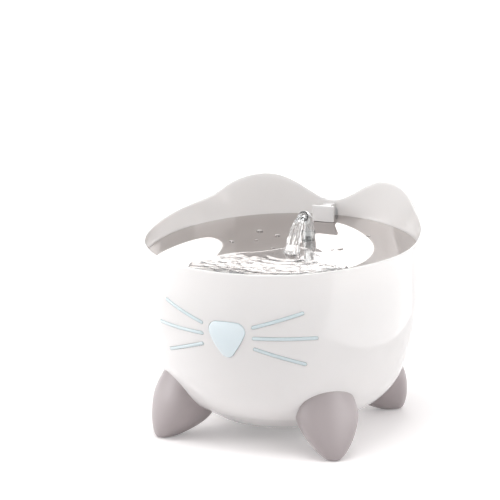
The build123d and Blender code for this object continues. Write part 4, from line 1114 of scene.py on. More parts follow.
@dataclass
class BowlHousing:
    """Moulded bowl with its ears, ledge, gussets, bosses and inlay seats."""

    wall_rows: int = 22
    lip_points: int = 8
    lip: float = 1.2
    sunk: float = 0.8
    ledge_w: float = 4.0
    ledge_h: float = 3.0
    ledge_steps: int = 200
    notch_half_w: float = 6.5
    gusset_angles: tuple[float, ...] = (30, 75, 120, 160)
    gusset_z: float = 129.0
    gusset_h: float = 30.0
    gusset_t: float = 3.0
    tray_r: float = 109.2
    cord_z: float = 168.5
    cord_r: float = 4.5
    cord_recess_r: float = 6.45
    cord_recess_depth: float = 1.2
    cord_gap: float = 0.05
    cutter_reach: float = 12.0
    guide_x: float = 2.7
    guide_t: float = 1.8
    guide_y: float = 108.0
    guide_z: Triple = (60.0, 108.0, 151.0)
    guide_rows: int = 12
    guide_sunk: float = 1.2
    fence_corner: Pairs = ((12, 31), (25, 31), (25, 12), (23, 12), (23, 29), (12, 29))
    fence_y: float = -3.0
    fence_h: float = 4.0
    fence_sunk: float = 0.5
    boss_r: float = 4.0
    boss_bore_r: float = 1.5
    boss_steps: int = 24

    def column(self, angle: float, top: float) -> Ring:
        """Points of the wall's section at one angle, from the underside over the lip to the floor."""
        outer = BOWL.profile(0.0)[1:]
        inner = BOWL.profile(BOWL.wall)[1:]
        upright = BOWL.arcs()[-1][1]
        rows = [upright + (top - self.lip - upright) * (k + 1) / self.wall_rows
                for k in range(self.wall_rows)]
        section = outer + [(BOWL.rim_r, z) for z in rows]
        middle = BOWL.rim_r - BOWL.wall / 2
        half = BOWL.wall / 2
        for k in range(1, self.lip_points):
            turn = pi * k / self.lip_points
            section.append((middle + half * cos(turn), top - self.lip + self.lip * sin(turn)))
        section += [(BOWL.rim_r - BOWL.wall, z) for z in reversed(rows)]
        section += list(reversed(inner))
        return [polar(angle, r, z) for r, z in section]

    def shell(self) -> Piece:
        """The bare wall, as one closed skin."""
        height = BOWL.rim_height()
        angles = [360 * k / BOWL_STEPS for k in range(BOWL_STEPS)]
        columns = [self.column(a, height(a)) for a in angles]
        rings = [[column[i] for column in columns] for i in range(len(columns[0]))]
        under = Vector((0, 0, BOWL.underside_z))
        floor = Vector((0, 0, BOWL.underside_z + BOWL.wall))
        return rings_to_mesh("bowl_shell", [[under]] + rings + [[floor]])

    def ledge(self) -> Piece:
        """Sloping ledge under the dish's flange, open at the cord cover."""
        inner_r = BOWL.rim_r - BOWL.wall - self.ledge_w
        outer_r = BOWL.rim_r - BOWL.wall + self.sunk
        low = -DISH.sheet - self.ledge_h
        section = ((inner_r, -DISH.sheet), (outer_r, -DISH.sheet), (outer_r, low - self.ledge_w),
                   (inner_r, low))
        frame = DISH.frame()
        open_angle = degrees(asin(self.notch_half_w / outer_r))
        turns = [180 + open_angle + (360 - 2 * open_angle) * k / self.ledge_steps
                 for k in range(self.ledge_steps + 1)]
        rings = [[frame @ polar(a, r, z) for r, z in section] for a in turns]
        ends = [[sum(ring, Vector()) / len(ring)] for ring in (rings[0], rings[-1])]
        return rings_to_mesh("ledge", [ends[0]] + rings + [ends[1]])

    def gussets(self) -> list[Piece]:
        """Eight gussets that carry the filter tray."""
        made = []
        for angle in self.gusset_angles:
            for turn in (angle, 360 - angle):
                side = polar(turn + 90, self.gusset_t / 2)
                reach = BOWL.radius(self.gusset_z) - self.sunk
                low_z = self.gusset_z - self.gusset_h * (reach - self.tray_r) / (BOWL.rim_r - self.tray_r)
                foot_r = BOWL.radius(low_z) - self.sunk
                corners = [polar(turn, r, z) - side for r, z in (
                    (self.tray_r, self.gusset_z), (reach, self.gusset_z), (foot_r, low_z))]
                made.append(prism("gusset", corners, side * 2))
        return made

    def ribs(self) -> list[Piece]:
        """Guides of the cord, and the fence round the pump's feet."""
        made = []
        low, kink, high = self.guide_z
        steps = [low + (high - low) * k / self.guide_rows for k in range(self.guide_rows + 1)]
        side_view = [(self.guide_y, high), (self.guide_y, kink)]
        side_view += [(BOWL.radius(z) - self.guide_sunk, z) for z in steps]
        for side in (-1, 1):
            outline = [Vector((side * self.guide_x, y, z)) for y, z in side_view]
            made.append(prism("cord_guide", outline, Vector((side * self.guide_t, 0, 0))))
        floor = BOWL.underside_z + BOWL.wall - self.fence_sunk
        for a, b in CORNERS:
            outline = [Vector((a * x, b * y + self.fence_y, floor)) for x, y in self.fence_corner]
            made.append(prism("fence", outline, Vector((0, 0, self.fence_h))))
        return made

    def bosses(self) -> list[Piece]:
        """Screw bosses under the bowl, which end inside its wall."""
        made = []
        for _, turn in FOOT_PLACES:
            middle = polar(turn, FOOT_SCREW_R)
            rings = []
            for r, low in ((self.boss_bore_r, True), (self.boss_r, True), (self.boss_r, False),
                           (self.boss_bore_r, False), (self.boss_bore_r, True)):
                ring = [middle + polar(360 / self.boss_steps * k, r) for k in range(self.boss_steps)]
                for place in ring:
                    place.z = FOOT_BOSS_Z if low else BOWL.height(place.length, BOWL.wall / 2)
                rings.append(ring)
            made.append(rings_to_mesh("boss", rings))
        return made

    def build(self, face: "Face") -> None:
        """Builds and dresses the bowl.

        Args:
            face: the face, which gives the cutters of its seats.
        """
        shell = self.shell()
        carve(shell, [join("ribs", [self.ledge()] + self.gussets() + self.ribs() + self.bosses())], "UNION")
        cutters = [tube(name, [Vector((0, BOWL.rim_r - depth, self.cord_z)),
                               Vector((0, BOWL.rim_r + self.cutter_reach, self.cord_z))], radius, lip=SHARP)
                   for name, depth, radius in (
                       ("cord_hole", self.cutter_reach, self.cord_r + self.cord_gap),
                       ("cord_recess", self.cord_recess_depth, self.cord_recess_r))]
        carve(shell, face.seat_cutters() + cutters)
        dress(shell, BOWL_GLOSS, Slot.BOWL, Body.BOWL, "bowl_housing")


@dataclass
class Face:
    """Nose lens and whisker inlays on the front of the bowl."""

    nose_corners: tuple[Triple, ...] = (
        (-20.4, 119.9, 7.5), (0.0, 120.7, 60.0), (20.4, 119.9, 7.5), (12.0, 102.45, 45.0),
        (0.0, 85.0, 6.0), (-12.0, 102.45, 45.0))
    nose_middle_z: float = 102.45
    nose_pull: Pair = (0.0, 106.0)
    nose_shares: tuple[float, ...] = (0.0, 0.12, 0.26, 0.40, 0.54, 0.67, 0.78, 0.87, 0.93)
    nose_edge: Pairs = ((0.965, 0.05), (0.98, 0.13), (0.992, 0.28), (1.0, 0.55))
    nose_back: tuple[float, ...] = (1.0, 0.87, 0.67, 0.4, 0.0)
    corner_points: int = 12
    outline_step: float = 1.6
    nose_dome_r: float = 70.0
    nose_sink: float = 1.5
    nose_proud: float = 2.0
    whisker_w: float = 2.7
    whisker_proud: float = 0.75
    whisker_sink: float = 1.2
    whisker_slope: float = 0.98
    whisker_down: float = 0.05
    whisker_shares: tuple[float, ...] = (0.0, 0.3, 0.55, 0.75, 0.88, 0.96, 1.0)
    end_points: int = 10
    side_points: int = 26
    gap: float = 0.32
    back_gap: float = 0.1
    cutter_reach: float = 8.0
    whiskers: tuple[tuple[str, float, float, float, float], ...] = (
        ("upper", 22.0, 117.0, 65.0, 130.5), ("middle", 22.0, 108.0, 76.5, 108.5),
        ("lower", 22.0, 99.0, 66.0, 85.3))

    def nose_outline(self, grow: float) -> list[Pair]:
        """Outline of the nose as (x, z) points, point down.

        Args:
            grow: how far the outline is moved out.

        Returns:
            The closed outline.
        """
        corners = [Vector(corner[:2]) for corner in self.nose_corners]
        points = []
        for i, (corner, (_, _, radius)) in enumerate(zip(corners, self.nose_corners)):
            before = (corners[i - 1] - corner).normalized()
            after = (corners[(i + 1) % len(corners)] - corner).normalized()
            half = before.angle(after) / 2
            centre = corner + (before + after).normalized() * (radius / sin(half))
            start, end = (Vector((side.y, -side.x)) for side in (before, after))
            start, end = (way if way.dot(centre - corner) < 0 else -way for way in (start, end))
            points += [centre + start.slerp(end, k / self.corner_points) * (radius + grow)
                       for k in range(self.corner_points + 1)]
        dense = []
        for a, b in zip(points, points[1:] + points[:1]):
            cuts = max(1, int((b - a).length / self.outline_step))
            dense += [tuple(a.lerp(b, k / cuts)) for k in range(cuts)]
        return dense

    def nose_ring(self, share: float, inset: float, grow: float = 0.0) -> Ring:
        """Ring of the nose's outline, drawn in towards its middle, at a depth in the wall."""
        outline = self.nose_outline(grow)
        middle = Vector(self.nose_pull)
        return [BOWL.front_point(*(middle + (Vector(p) - middle) * share), inset) for p in outline]

    def dome_ring(self, share: float, inset: float) -> Ring:
        """Ring of the nose's outline on the lens's domed face, drawn in and moved in."""
        lean = atan2(BOWL.radius(self.nose_middle_z + 1) - BOWL.radius(self.nose_middle_z - 1), 2)
        depth = self.nose_dome_r - self.nose_proud
        centre = Vector((0.0, depth * cos(lean) - BOWL.radius(self.nose_middle_z),
                         self.nose_middle_z + depth * sin(lean)))
        ring = []
        for point in self.nose_ring(share, 0.0):
            out = sqrt(self.nose_dome_r ** 2 - point.x ** 2 - (point.z - centre.z) ** 2)
            ring.append(Vector((point.x, centre.y - out + inset, point.z)))
        return ring

    def nose(self) -> Piece:
        """Domed nose lens with a soft edge that fills its seat."""
        dome = [self.dome_ring(share, 0.0) for share in self.nose_shares]
        dome += [self.dome_ring(share, inset) for share, inset in self.nose_edge]
        back = [self.nose_ring(share, self.nose_sink - self.back_gap) for share in self.nose_back]
        return rings_to_mesh("nose_lens_domed", [dome[0][:1]] + dome[1:] + back[:-1] + [back[-1][:1]])

    def whisker_ring(self, ends: Sequence[float], side: int, share: float, inset: float,
                     grow: float = 0.0) -> Ring:
        """Slot-shaped ring of one whisker at a depth in the wall.

        Args:
            ends: distance from the middle and height of its inner and outer end.
            side: the side of the face, -1 or 1.
            share: how far it is drawn out from its middle line.
            inset: its depth in the wall.
            grow: how far its outline is moved out.

        Returns:
            The ring.
        """
        s1, z1, s2, z2 = ends
        r = BOWL.radius((z1 + z2) / 2)
        starts = [Vector((side * degrees(s / r), z)) for s, z in ((s1, z1), (s2, z2))]
        middle = (starts[0].x + starts[1].x) / 2
        normal = polar(middle, 1.0)
        across = Vector((-normal.y, normal.x, 0.0))
        local = []
        for point in starts:
            place = polar(point.x, r, point.y)
            local.append(Vector((place.dot(across), place.z)))
        along = (local[1] - local[0]).normalized()
        width = Vector((-along.y, along.x))
        half = self.whisker_w / 2 + grow
        a, b = local[0] + along * self.whisker_w / 2, local[1] - along * self.whisker_w / 2
        outline = []
        for start, end, turn in ((a, b, -1), (b, a, 1)):
            outline += [start.lerp(end, k / self.side_points) + width * turn * half * share
                        for k in range(self.side_points)]
            for k in range(self.end_points):
                t = pi * k / self.end_points
                outline.append(end + (width * turn * cos(t) - along * turn * sin(t)) * half * share)
        ring = []
        out = normal.xy
        for point in outline:
            base = across * point.x + Vector((0, 0, point.y))
            reach = BOWL.radius(point.y, inset)
            near = base.xy.dot(out)
            lift = -near + sqrt(max(near ** 2 - base.xy.dot(base.xy) + reach ** 2, 0.0))
            ring.append(base + normal * lift)
        return ring

    def whisker(self, name: str, ends: Sequence[float], side: int) -> Piece:
        """One crowned whisker bar."""
        rise = [self.whisker_proud * sqrt(1 - (s * self.whisker_slope) ** 2) - self.whisker_down
                for s in self.whisker_shares]
        crown = [self.whisker_ring(ends, side, s, -z) for s, z in zip(self.whisker_shares, rise)]
        back = [self.whisker_ring(ends, side, s, self.whisker_sink - self.back_gap) for s in (1.0, 0.5, 0.0)]
        return rings_to_mesh(name, crown + back)

    def seat_cutters(self) -> list[Piece]:
        """Cutters of the nose's and the whiskers' seats in the wall."""
        rings = [self.nose_ring(s, -self.cutter_reach, self.gap) for s in (0.0, 1.0)]
        rings += [self.nose_ring(s, self.nose_sink, self.gap) for s in (1.0, 0.75, 0.5, 0.25, 0.0)]
        cutters = [rings_to_mesh("nose_seat", rings)]
        for _, *ends in self.whiskers:
            for side in (-1, 1):
                rings = [self.whisker_ring(ends, side, share, inset, self.gap) for share, inset in (
                    (0.0, -self.cutter_reach), (1.0, -self.cutter_reach),
                    (1.0, self.whisker_sink), (0.0, self.whisker_sink))]
                cutters.append(rings_to_mesh("whisker_seat", rings))
        return [join("inlay_seats", cutters)]

    def build(self) -> None:
        """Builds and dresses the nose and the six whiskers."""
        dress(self.nose(), NOSE_BLUE_PAINTED_HIGHLIGHT, Slot.LENS, Body.BOWL, "nose_lens")
        for name, *ends in self.whiskers:
            for side_name, side in (("right", 1), ("left", -1)):
                node = f"{side_name}_{name}_whisker"
                dress(self.whisker(f"{node}_bar", ends, side), LENS_BLUE, Slot.LENS, Body.BOWL, node)


# -------------------- feet

@dataclass
class Feet:
    """Four ear-shaped feet with their rubber pads and screws."""

    reach: float = 120.2
    sections: tuple[tuple[float, float, float, float, float], ...] = (
        (0.4, 2.8, 6.0, 6.4, 12.7), (3.0, 1.3, 9.2, 8.0, 20.0), (8.0, 0.4, 13.8, 10.2, 30.0),
        (16.0, 0.0, 19.3, 13.2, 38.5), (26.0, 1.0, 24.0, 15.5, 41.0), (37.0, 3.4, 25.8, 15.0, 42.0),
        (48.0, 7.8, 23.6, 14.0, 43.0), (58.0, 13.0, 20.0, 13.0, 45.0), (66.0, 17.8, 17.0, 12.5, 46.5))
    bowl_overlap: float = 0.7
    screw_seat_z: float = 18.8
    screw_head: Pairs = (
        (0.0, -1.9), (1.7, -1.9), (2.3, -1.65), (2.7, -1.1), (2.8, -0.5), (2.8, 0.0), (1.45, 0.0))
    thread_r: Pair = (1.15, 1.45)
    thread_pitch: float = 0.6
    thread_z: Pair = (0.4, 7.8)
    screw_tip: Pairs = ((0.9, 8.5), (0.0, 9.0))
    screw_turn: float = 20.0
    screw_turn_step: float = 37.0
    cross_half: Pair = (1.5, 0.35)
    cross_z: Pair = (-2.5, -0.9)
    well_low: float = -2.0
    well_parts: Pairs = ((3.5, 18.8), (1.7, FOOT_BOSS_Z), (4.2, 60.0))
    pad_top_z: float = 2.6
    pad_gap: float = 0.05
    pad_tread: Pairs = (
        (0.0, 0.25), (1.2, 0.25), (1.45, 0.0), (2.3, 0.0), (2.55, 0.3), (3.0, 0.3), (3.25, 0.0))
    pad_edge: float = 0.4
    pad_r: float = 4.2
    pad_from_axis: float = 109.0
    steps: int = 128
    rows: int = 60
    well_steps: int = 40
    pad_steps: int = 48
    screw_steps: int = 32

    def section(self, values: Sequence[float], share: float = 1.0) -> Ring:
        """Egg-shaped level ring of a foot that reaches out along +X.

        Args:
            values: height, set-back from the reach, half width, outer and inner half length.
            share: how far the ring is drawn out from its middle.

        Returns:
            The ring.
        """
        z, back, half, ahead, behind = values
        middle = Vector((self.reach - back - ahead, 0.0, z))
        ring = []
        for k in range(self.steps):
            t = FULL * k / self.steps
            length = ahead if cos(t) > 0 else behind
            ring.append(middle + Vector((length * cos(t), half * sin(t), 0.0)) * share)
        return ring

    def shell(self) -> Piece:
        """One foot as a closed skin, cut to the bowl just under the bowl's own skin."""
        curve = smooth_curve(self.sections, closed=False)
        rows = [curve(k / self.rows) for k in range(self.rows + 1)]
        sole = [self.section(rows[0], share) for share in (0.0, 0.5, 0.9)]
        rings = [sole[0][:1]] + sole[1:] + [self.section(row) for row in rows[1:]]
        foot = rings_to_mesh("foot", rings + [self.section(rows[-1], 0.0)[:1]])
        profile = BOWL.profile(self.bowl_overlap)
        bowl = lathe("bowl_cutter", profile + [(0.0, profile[-1][1])], BOWL_STEPS)
        return carve(foot, [bowl])

    def turned(self, piece: Piece, name: str, angle: float) -> Piece:
        """Copy of a +X piece turned to its angle round the bowl, with its place in its mesh."""
        data = piece.data.copy()
        data.name = name
        data.transform(Matrix.Rotation(radians(angle - 90), 4, "Z"))
        return link(name, data)

    def screw_unit(self) -> Piece:
        """Pan-head screw with a cross recess and a thread, pointing up from its head's seat."""
        root, crest = self.thread_r
        z, end = self.thread_z
        thread = []
        while z < end:
            thread += [(root, z), (crest, z + self.thread_pitch / 2), (root, z + self.thread_pitch)]
            z += self.thread_pitch
        unit = lathe("screw_unit", [*self.screw_head, *thread, *self.screw_tip], self.screw_steps)
        long, thin = ((-half, half) for half in self.cross_half)
        cross = [block_mesh("cross", x, y, self.cross_z) for x, y in ((long, thin), (thin, long))]
        return carve(unit, cross, angle=CRISP)

    def build(self) -> None:
        """Builds and dresses the feet, pads and screws."""
        shell = self.shell()
        r, top, middle = self.pad_r, self.pad_top_z, (self.pad_from_axis, 0.0)
        low, steps = self.well_low, self.pad_steps
        carve(shell, [stepped_round("well", low, self.well_parts, self.well_steps, (FOOT_SCREW_R, 0.0)),
                      stepped_round("pad_well", low, [(r + self.pad_gap, top)], steps, middle)])
        edge = [(r - self.pad_edge, 0.0), (r - 0.12, 0.12), (r, self.pad_edge)]
        pad = lathe("pad", [*self.pad_tread, *edge, (r, top), (0.0, top)], steps, middle)
        for name, angle in FOOT_PLACES:
            foot = self.turned(shell, f"{name}_foot_shell", angle)
            dress(foot, FOOT_SATIN, Slot.FOOT, Body.BOWL, f"{name}_foot")
            sole = self.turned(pad, f"{name}_foot_sole", angle)
            dress(sole, RUBBER, Slot.PAD, Body.BOWL, f"{name}_foot_pad")
        bpy.data.objects.remove(shell)
        bpy.data.objects.remove(pad)
        unit = self.screw_unit()
        places = [polar(angle, FOOT_SCREW_R, self.screw_seat_z) for _, angle in FOOT_PLACES]
        turns = [radians(self.screw_turn + self.screw_turn_step * k) for k in range(len(places))]
        screws = repeat_tree().run("foot_screw_set", points_object("screw_places", places, turns),
                                   {"Unit": unit, "Scale": 1.0}, SCREW_ZINC, CRISP)
        bpy.data.objects.remove(unit)
        dress(screws, SCREW_ZINC, Slot.SCREW, Body.BOWL, "foot_screws")


# -------------------- dish, spout and water

@dataclass
class DrinkingDish:
    """Pressed and polished steel dish."""

    steps: int = 320
    notch_half_w: float = 5.1
    notch_y: Pair = (97.5, 140.0)
    notch_r: float = 1.2
    notch_z: Pair = (130.0, 200.0)
    collar_r: float = 6.35
    collar_hole_z: Pair = (130.0, 190.0)
    slots: int = 9
    slot_pitch: float = 9.0
    slot_r: float = 100.0
    slot_l: float = 11.0
    slot_w: float = 2.6
    slot_z: Pair = (-12.0, 8.0)
    flat_rows: int = 6
    slope_rows: int = 46
    round_points: int = 8
    notch_points: int = 6
    hole_steps: int = 64

    def section(self) -> list[Pair]:
        """Half section of the sheet, closed, in the dish's own frame."""
        r, t = DISH.rim_r, DISH.sheet
        radii = [DISH.flat_r * k / self.flat_rows for k in range(self.flat_rows + 1)]
        radii += [DISH.flat_r + (DISH.flange_r - DISH.flat_r) * k / self.slope_rows
                  for k in range(1, self.slope_rows + 1)]
        upper = [(x, DISH.hollow(x)) for x in radii] + [(DISH.edge_r, 0.0), (r - t / 2, 0.0)]
        roll = [(r - t / 2 + t / 2 * sin(a), -t / 2 + t / 2 * cos(a)) for a in
                (pi * k / self.round_points for k in range(1, self.round_points + 1))]
        lower = [(x, z - t) for x, z in reversed(upper[:-1])]
        return upper + roll + lower

    def build(self) -> None:
        """Builds, cuts and dresses the dish."""
        dish = lathe("dish_pressing", self.section(), self.steps)
        cutter = self.slot_cutter()
        dish = slot_cut_tree().run("dish_pressing", dish, {
            "Cutter": cutter, "Count": self.slots, "Pitch Angle": radians(self.slot_pitch)},
            DISH_POLISH, CRISP)
        bpy.data.objects.remove(cutter)
        scaled = DISH.frame()
        scaled.translation *= MM
        dish.data.transform(scaled)
        low, high = self.collar_hole_z
        hole = stepped_round("collar_hole", low, [(self.collar_r, high)], self.hole_steps, (0.0, SPOUT_Y))
        carve(dish, [self.notch(), hole], angle=CRISP)
        self.true_normals(dish)
        dress(dish, DISH_POLISH, Slot.DISH, Body.DISH, "drinking_dish")

    def slot_cutter(self) -> Piece:
        """Cutter of the front-most slot, in the dish's own frame."""
        half, w = self.slot_l / 2 - self.slot_w / 2, self.slot_w / 2
        low, high = self.slot_z
        outline = []
        for end, start in ((half, -QUARTER), (-half, QUARTER)):
            for k in range(self.round_points + 1):
                t = start + pi * k / self.round_points
                outline.append(Vector((end + w * cos(t), -self.slot_r + w * sin(t), low)))
        return prism("slot_cutter", outline, Vector((0, 0, high - low)))

    def notch(self) -> Piece:
        """Cutter of the notch round the cord duct."""
        x, r, (y, back) = self.notch_half_w, self.notch_r, self.notch_y
        low, high = self.notch_z
        outline = [Vector((x, back, low))] + [
            Vector((x - r + r * cos(t), y + r - r * sin(t), low))
            for t in (QUARTER * k / self.notch_points for k in range(self.notch_points + 1))]
        outline += [Vector((-p.x, p.y, low)) for p in reversed(outline)]
        return prism("notch", outline, Vector((0, 0, high - low)))

    def true_normals(self, dish: Piece) -> None:
        """Gives the polished faces the normals of the true form, so that cuts leave no marks."""
        data = dish.data
        turn, back = DISH.frame().to_3x3(), DISH.frame().inverted()
        step, alike = 0.2, 0.97
        normals = [Vector(n.vector) for n in data.corner_normals]
        for face in data.polygons:
            for corner in face.loop_indices:
                own = back @ (data.vertices[data.loops[corner].vertex_index].co / MM)
                r = hypot(own.x, own.y)
                if r > DISH.rim_r - DISH.sheet * 0.6:
                    continue
                slope = (DISH.hollow(r + step) - DISH.hollow(max(r - step, 0.0))) / (2 * step)
                flat = Vector((own.x, own.y, 0.0)) / max(r, NEAR_ZERO)
                true = turn @ (Vector((0, 0, 1)) - flat * slope).normalized()
                if abs(face.normal.dot(true)) > alike:
                    normals[corner] = true if face.normal.dot(true) > 0 else -true
        data.normals_split_custom_set(normals)


@dataclass
class Spout:
    """Clear collar and bent clear nozzle."""

    collar_r: float = 6.3
    collar_top_z: float = 162.0
    flange_r: float = 9.0
    flange_z: float = 142.5
    nozzle_r: float = 4.8
    bore_r: float = 3.3
    bend_r: float = 11.3
    bend_start_z: float = 165.5
    bend_angle: float = 82.0
    bottom_z: float = 152.5
    tip_l: float = 3.0
    riser_r: float = 4.6
    riser_top_z: float = 151.5
    edge: float = 0.4
    fit: float = 0.1
    grip: float = 0.9
    seat: float = 1.15
    collar_steps: int = 72
    nozzle_steps: int = 64
    mouth_round: float = 0.5
    upright_points: int = 8
    bend_points: int = 16
    tip_points: int = 3

    def path(self, bottom: float) -> list[Vector]:
        """Centre line from a height up round the bend to the mouth.

        Args:
            bottom: height of its first point.

        Returns:
            The points.
        """
        points = [Vector((0, SPOUT_Y, bottom + (self.bend_start_z - bottom) * k / self.upright_points))
                  for k in range(self.upright_points + 1)]
        for k in range(1, self.bend_points + 1):
            t = radians(self.bend_angle) * k / self.bend_points
            points.append(Vector((0, SPOUT_Y - self.bend_r * (1 - cos(t)),
                                  self.bend_start_z + self.bend_r * sin(t))))
        ahead = Vector((0, -sin(t), cos(t)))
        points += [points[-1] + ahead * self.tip_l * k / self.tip_points
                   for k in range(1, self.tip_points + 1)]
        return points

    def collar(self) -> Piece:
        """Clear collar that closes on the dish's underside."""
        under = DISH.top_z(0, SPOUT_Y) - self.seat - self.grip
        r, wide, bore, edge = self.collar_r, self.flange_r, self.nozzle_r + self.fit, self.edge
        top, low = self.collar_top_z, self.bottom_z - self.fit
        profile = [(self.riser_r, self.flange_z), (wide - edge, self.flange_z),
                   (wide, self.flange_z + edge), (wide, under), (r, under), (r, top - 2 * edge),
                   (r - 0.25, top - 0.25), (r - 2 * edge, top), (bore + 0.25, top), (bore, top - 0.3),
                   (bore, low), (self.bore_r, low), (self.bore_r, self.riser_top_z),
                   (self.riser_r, self.riser_top_z)]
        return lathe("spout_collar_clear", profile, self.collar_steps, (0.0, SPOUT_Y))

    def build(self) -> None:
        """Builds and dresses the collar and the nozzle."""
        dress(self.collar(), CLEAR_MOULD, Slot.CLEAR, Body.DISH, "spout_collar")
        nozzle = tube("spout_nozzle_clear", self.path(self.bottom_z), self.nozzle_r, self.bore_r,
                      self.nozzle_steps, self.mouth_round)
        dress(nozzle, CLEAR_MOULD, Slot.CLEAR, Body.NOZZLE, "spout_nozzle")


@dataclass
class Water:
    """Water in the dish: the pool at the front, the falling stream and a few drops."""

    level: float = 147.6
    film: float = 0.12
    sunk: float = 0.5
    landing: Pair = (0.0, 21.0)
    ring_height: float = 0.75
    ring_pitch: float = 0.62
    ring_reach: float = 46.0
    chop: tuple[tuple[float, float, float, float], ...] = (
        (0.60, 0.075, 0.16, 3.1), (0.42, 0.19, 0.33, 7.7), (0.16, 0.42, 0.70, 1.3))
    pool_y: float = -46.0
    pool_steps: int = 220
    pool_bands: int = 60
    shore_step: float = 0.5
    shore_wander: float = 0.05
    shore_pitch: float = 2.2
    bulge: Pair = (2.6, 26.0)
    edge_power: int = 14
    stream_points: int = 40
    stream_steps: int = 64
    stream_rise: float = 2.2
    stream_curve: float = 0.18
    stream_sunk: float = 0.3
    splash_from: float = 0.85
    widen: Pair = (2.6, 1.6)
    thicken: Pair = (-1.5, 2.6)
    thicken_pace: float = 2.2
    flute: Pair = (0.22, 0.10)
    flute_pitch: Triple = (2.6, 2.6, 0.16)
    flutes: int = 7
    bore_gap: float = 0.04
    start_below: float = 20.0
    drop_rows: int = 8
    drop_steps: int = 28
    drop_rise: float = 0.42
    drop_wobble: float = 0.16
    drop_long: float = 1.15
    drop_sunk: float = 0.1
    drops: tuple[Triple, ...] = (
        (38.0, 42.0, 2.6), (31.0, 40.0, 1.7), (-48.0, 62.0, 3.0), (-30.0, 60.0, 2.4),
        (-22.0, 30.0, 1.8), (-62.0, 30.0, 2.2), (54.0, 70.0, 1.6), (-44.0, 44.0, 1.4))

    def surface(self, x: float, y: float) -> float:
        """Height of the pool over a place, with the ripples that spread from the stream."""
        away = hypot(x - self.landing[0], y - self.landing[1])
        rings = self.ring_height * sin(away * self.ring_pitch)
        rings *= exp(-away / self.ring_reach) / (1 + 4 / (away + 1))
        chop = sum(height * noise.noise(Vector((x * across, y * along, seed)))
                   for height, across, along, seed in self.chop)
        return self.level + rings + chop

    def shore(self, angle: float, centre: Vector) -> float:
        """Distance from the pool's middle to its edge at an angle."""
        way = Vector((cos(angle), sin(angle)))
        wander = 1.0 + self.shore_wander * noise.noise(
            Vector((cos(angle) * self.shore_pitch, sin(angle) * self.shore_pitch, 0.4)))
        lift, width = self.bulge
        reach = 4.0
        while True:
            place = centre + way * reach
            bulge = lift * exp(-((place.x - self.landing[0]) / width) ** 2) if place.y > 0 else 0.0
            if place.length > DISH.edge_r - 0.5:
                return reach
            if DISH.top_z(place.x, place.y) + self.film > self.level + 0.5 + bulge:
                return reach * wander if place.length * wander < DISH.edge_r - 1 else reach
            reach += self.shore_step

    def pool(self) -> Piece:
        """Shallow pool with its rippled face; it thins out to the dish at its edge."""
        centre = Vector((0.0, self.pool_y))
        steps, bands = self.pool_steps, self.pool_bands
        top: list[Ring] = []
        under: list[Ring] = []
        shores = [self.shore(FULL * i / steps, centre) for i in range(steps)]
        for band in range(1, bands + 1):
            share = band / bands
            upper, lower = [], []
            for i, reach in enumerate(shores):
                angle = FULL * i / steps
                x = centre.x + cos(angle) * reach * share
                y = centre.y + sin(angle) * reach * share
                floor = DISH.top_z(x, y)
                edge = sqrt(max(1 - share ** self.edge_power, 0.0))
                z = floor + max(self.surface(x, y) - floor, self.film * 4) * edge
                upper.append(Vector((x, y, max(z, floor - 0.2))))
                lower.append(Vector((x, y, floor - self.sunk)))
            top.append(upper)
            under.append(lower)
        middle = Vector((centre.x, centre.y, self.surface(*centre)))
        below = Vector((centre.x, centre.y, DISH.top_z(*centre) - self.sunk))
        return rings_to_mesh("water_pool", [[middle]] + top + under[::-1][1:] + [[below]])

    def stream(self, spout: Spout) -> Piece:
        """Water in the nozzle's bore and the sheet that falls from its mouth."""
        inside = spout.path(spout.riser_top_z - self.start_below)
        mouth = inside[-1]
        points = [(p, spout.bore_r - self.bore_gap, spout.bore_r - self.bore_gap) for p in inside]
        run, drop, rise = self.landing[1] - mouth.y, mouth.z - self.level, self.stream_rise
        for k in range(1, self.stream_points + 1):
            t = k / self.stream_points
            y = mouth.y + run * ((1 + self.stream_curve) * t - self.stream_curve * t * t)
            z = mouth.z + rise * t - (drop + rise - self.stream_sunk) * t * t
            ease = t * t * (3 - 2 * t)
            splash = max(t - self.splash_from, 0.0) / (1 - self.splash_from)
            wide = spout.bore_r + self.widen[0] * ease + self.widen[1] * splash
            thick = spout.bore_r + self.thicken[0] * min(t * self.thicken_pace, 1.0)
            thick += self.thicken[1] * splash
            points.append((Vector((0, y, z)), wide, thick))
        (across, along, down), rings = self.flute_pitch, []
        for i, (centre, wide, thick) in enumerate(points):
            ahead = points[min(i + 1, len(points) - 1)][0] - points[max(i - 1, 0)][0]
            ahead.normalize()
            up = ahead.cross(Vector((1, 0, 0)))
            ring = []
            for k in range(self.stream_steps):
                a = FULL * k / self.stream_steps
                fluted = 0.0
                if i > len(inside):
                    fluted = self.flute[0] * noise.noise(Vector((cos(a) * across, sin(a) * along, i * down)))
                    fluted += self.flute[1] * sin(a * self.flutes + i * 0.1)
                ring.append(centre + Vector((cos(a) * wide * (1 + fluted), 0, 0))
                            + up * sin(a) * thick * (1 + fluted))
            rings.append(ring)
        return rings_to_mesh("water_stream", [[points[0][0]]] + rings + [[points[-1][0]]])

    def droplets(self) -> Piece:
        """Flat drops that lie on the steel."""
        made = []
        for number, (x, y, size) in enumerate(self.drops):
            rings = []
            for k in range(self.drop_rows + 1):
                share = k / self.drop_rows
                rise = size * self.drop_rise * sqrt(1 - share ** 2) - self.drop_sunk
                ring = []
                for i in range(self.drop_steps):
                    a = FULL * i / self.drop_steps
                    uneven = noise.noise(Vector((cos(a), sin(a), number * 3.3)))
                    reach = size * (1 + self.drop_wobble * uneven) * share
                    px, py = x + cos(a) * reach * self.drop_long, y + sin(a) * reach
                    ring.append(Vector((px, py, DISH.top_z(px, py) + rise)))
                rings.append(ring if k else ring[:1])
            rings.append([Vector((x, y, DISH.top_z(x, y) - self.sunk))])
            made.append(rings_to_mesh("drop", rings))
        return join("water_drops", made, ROUND)

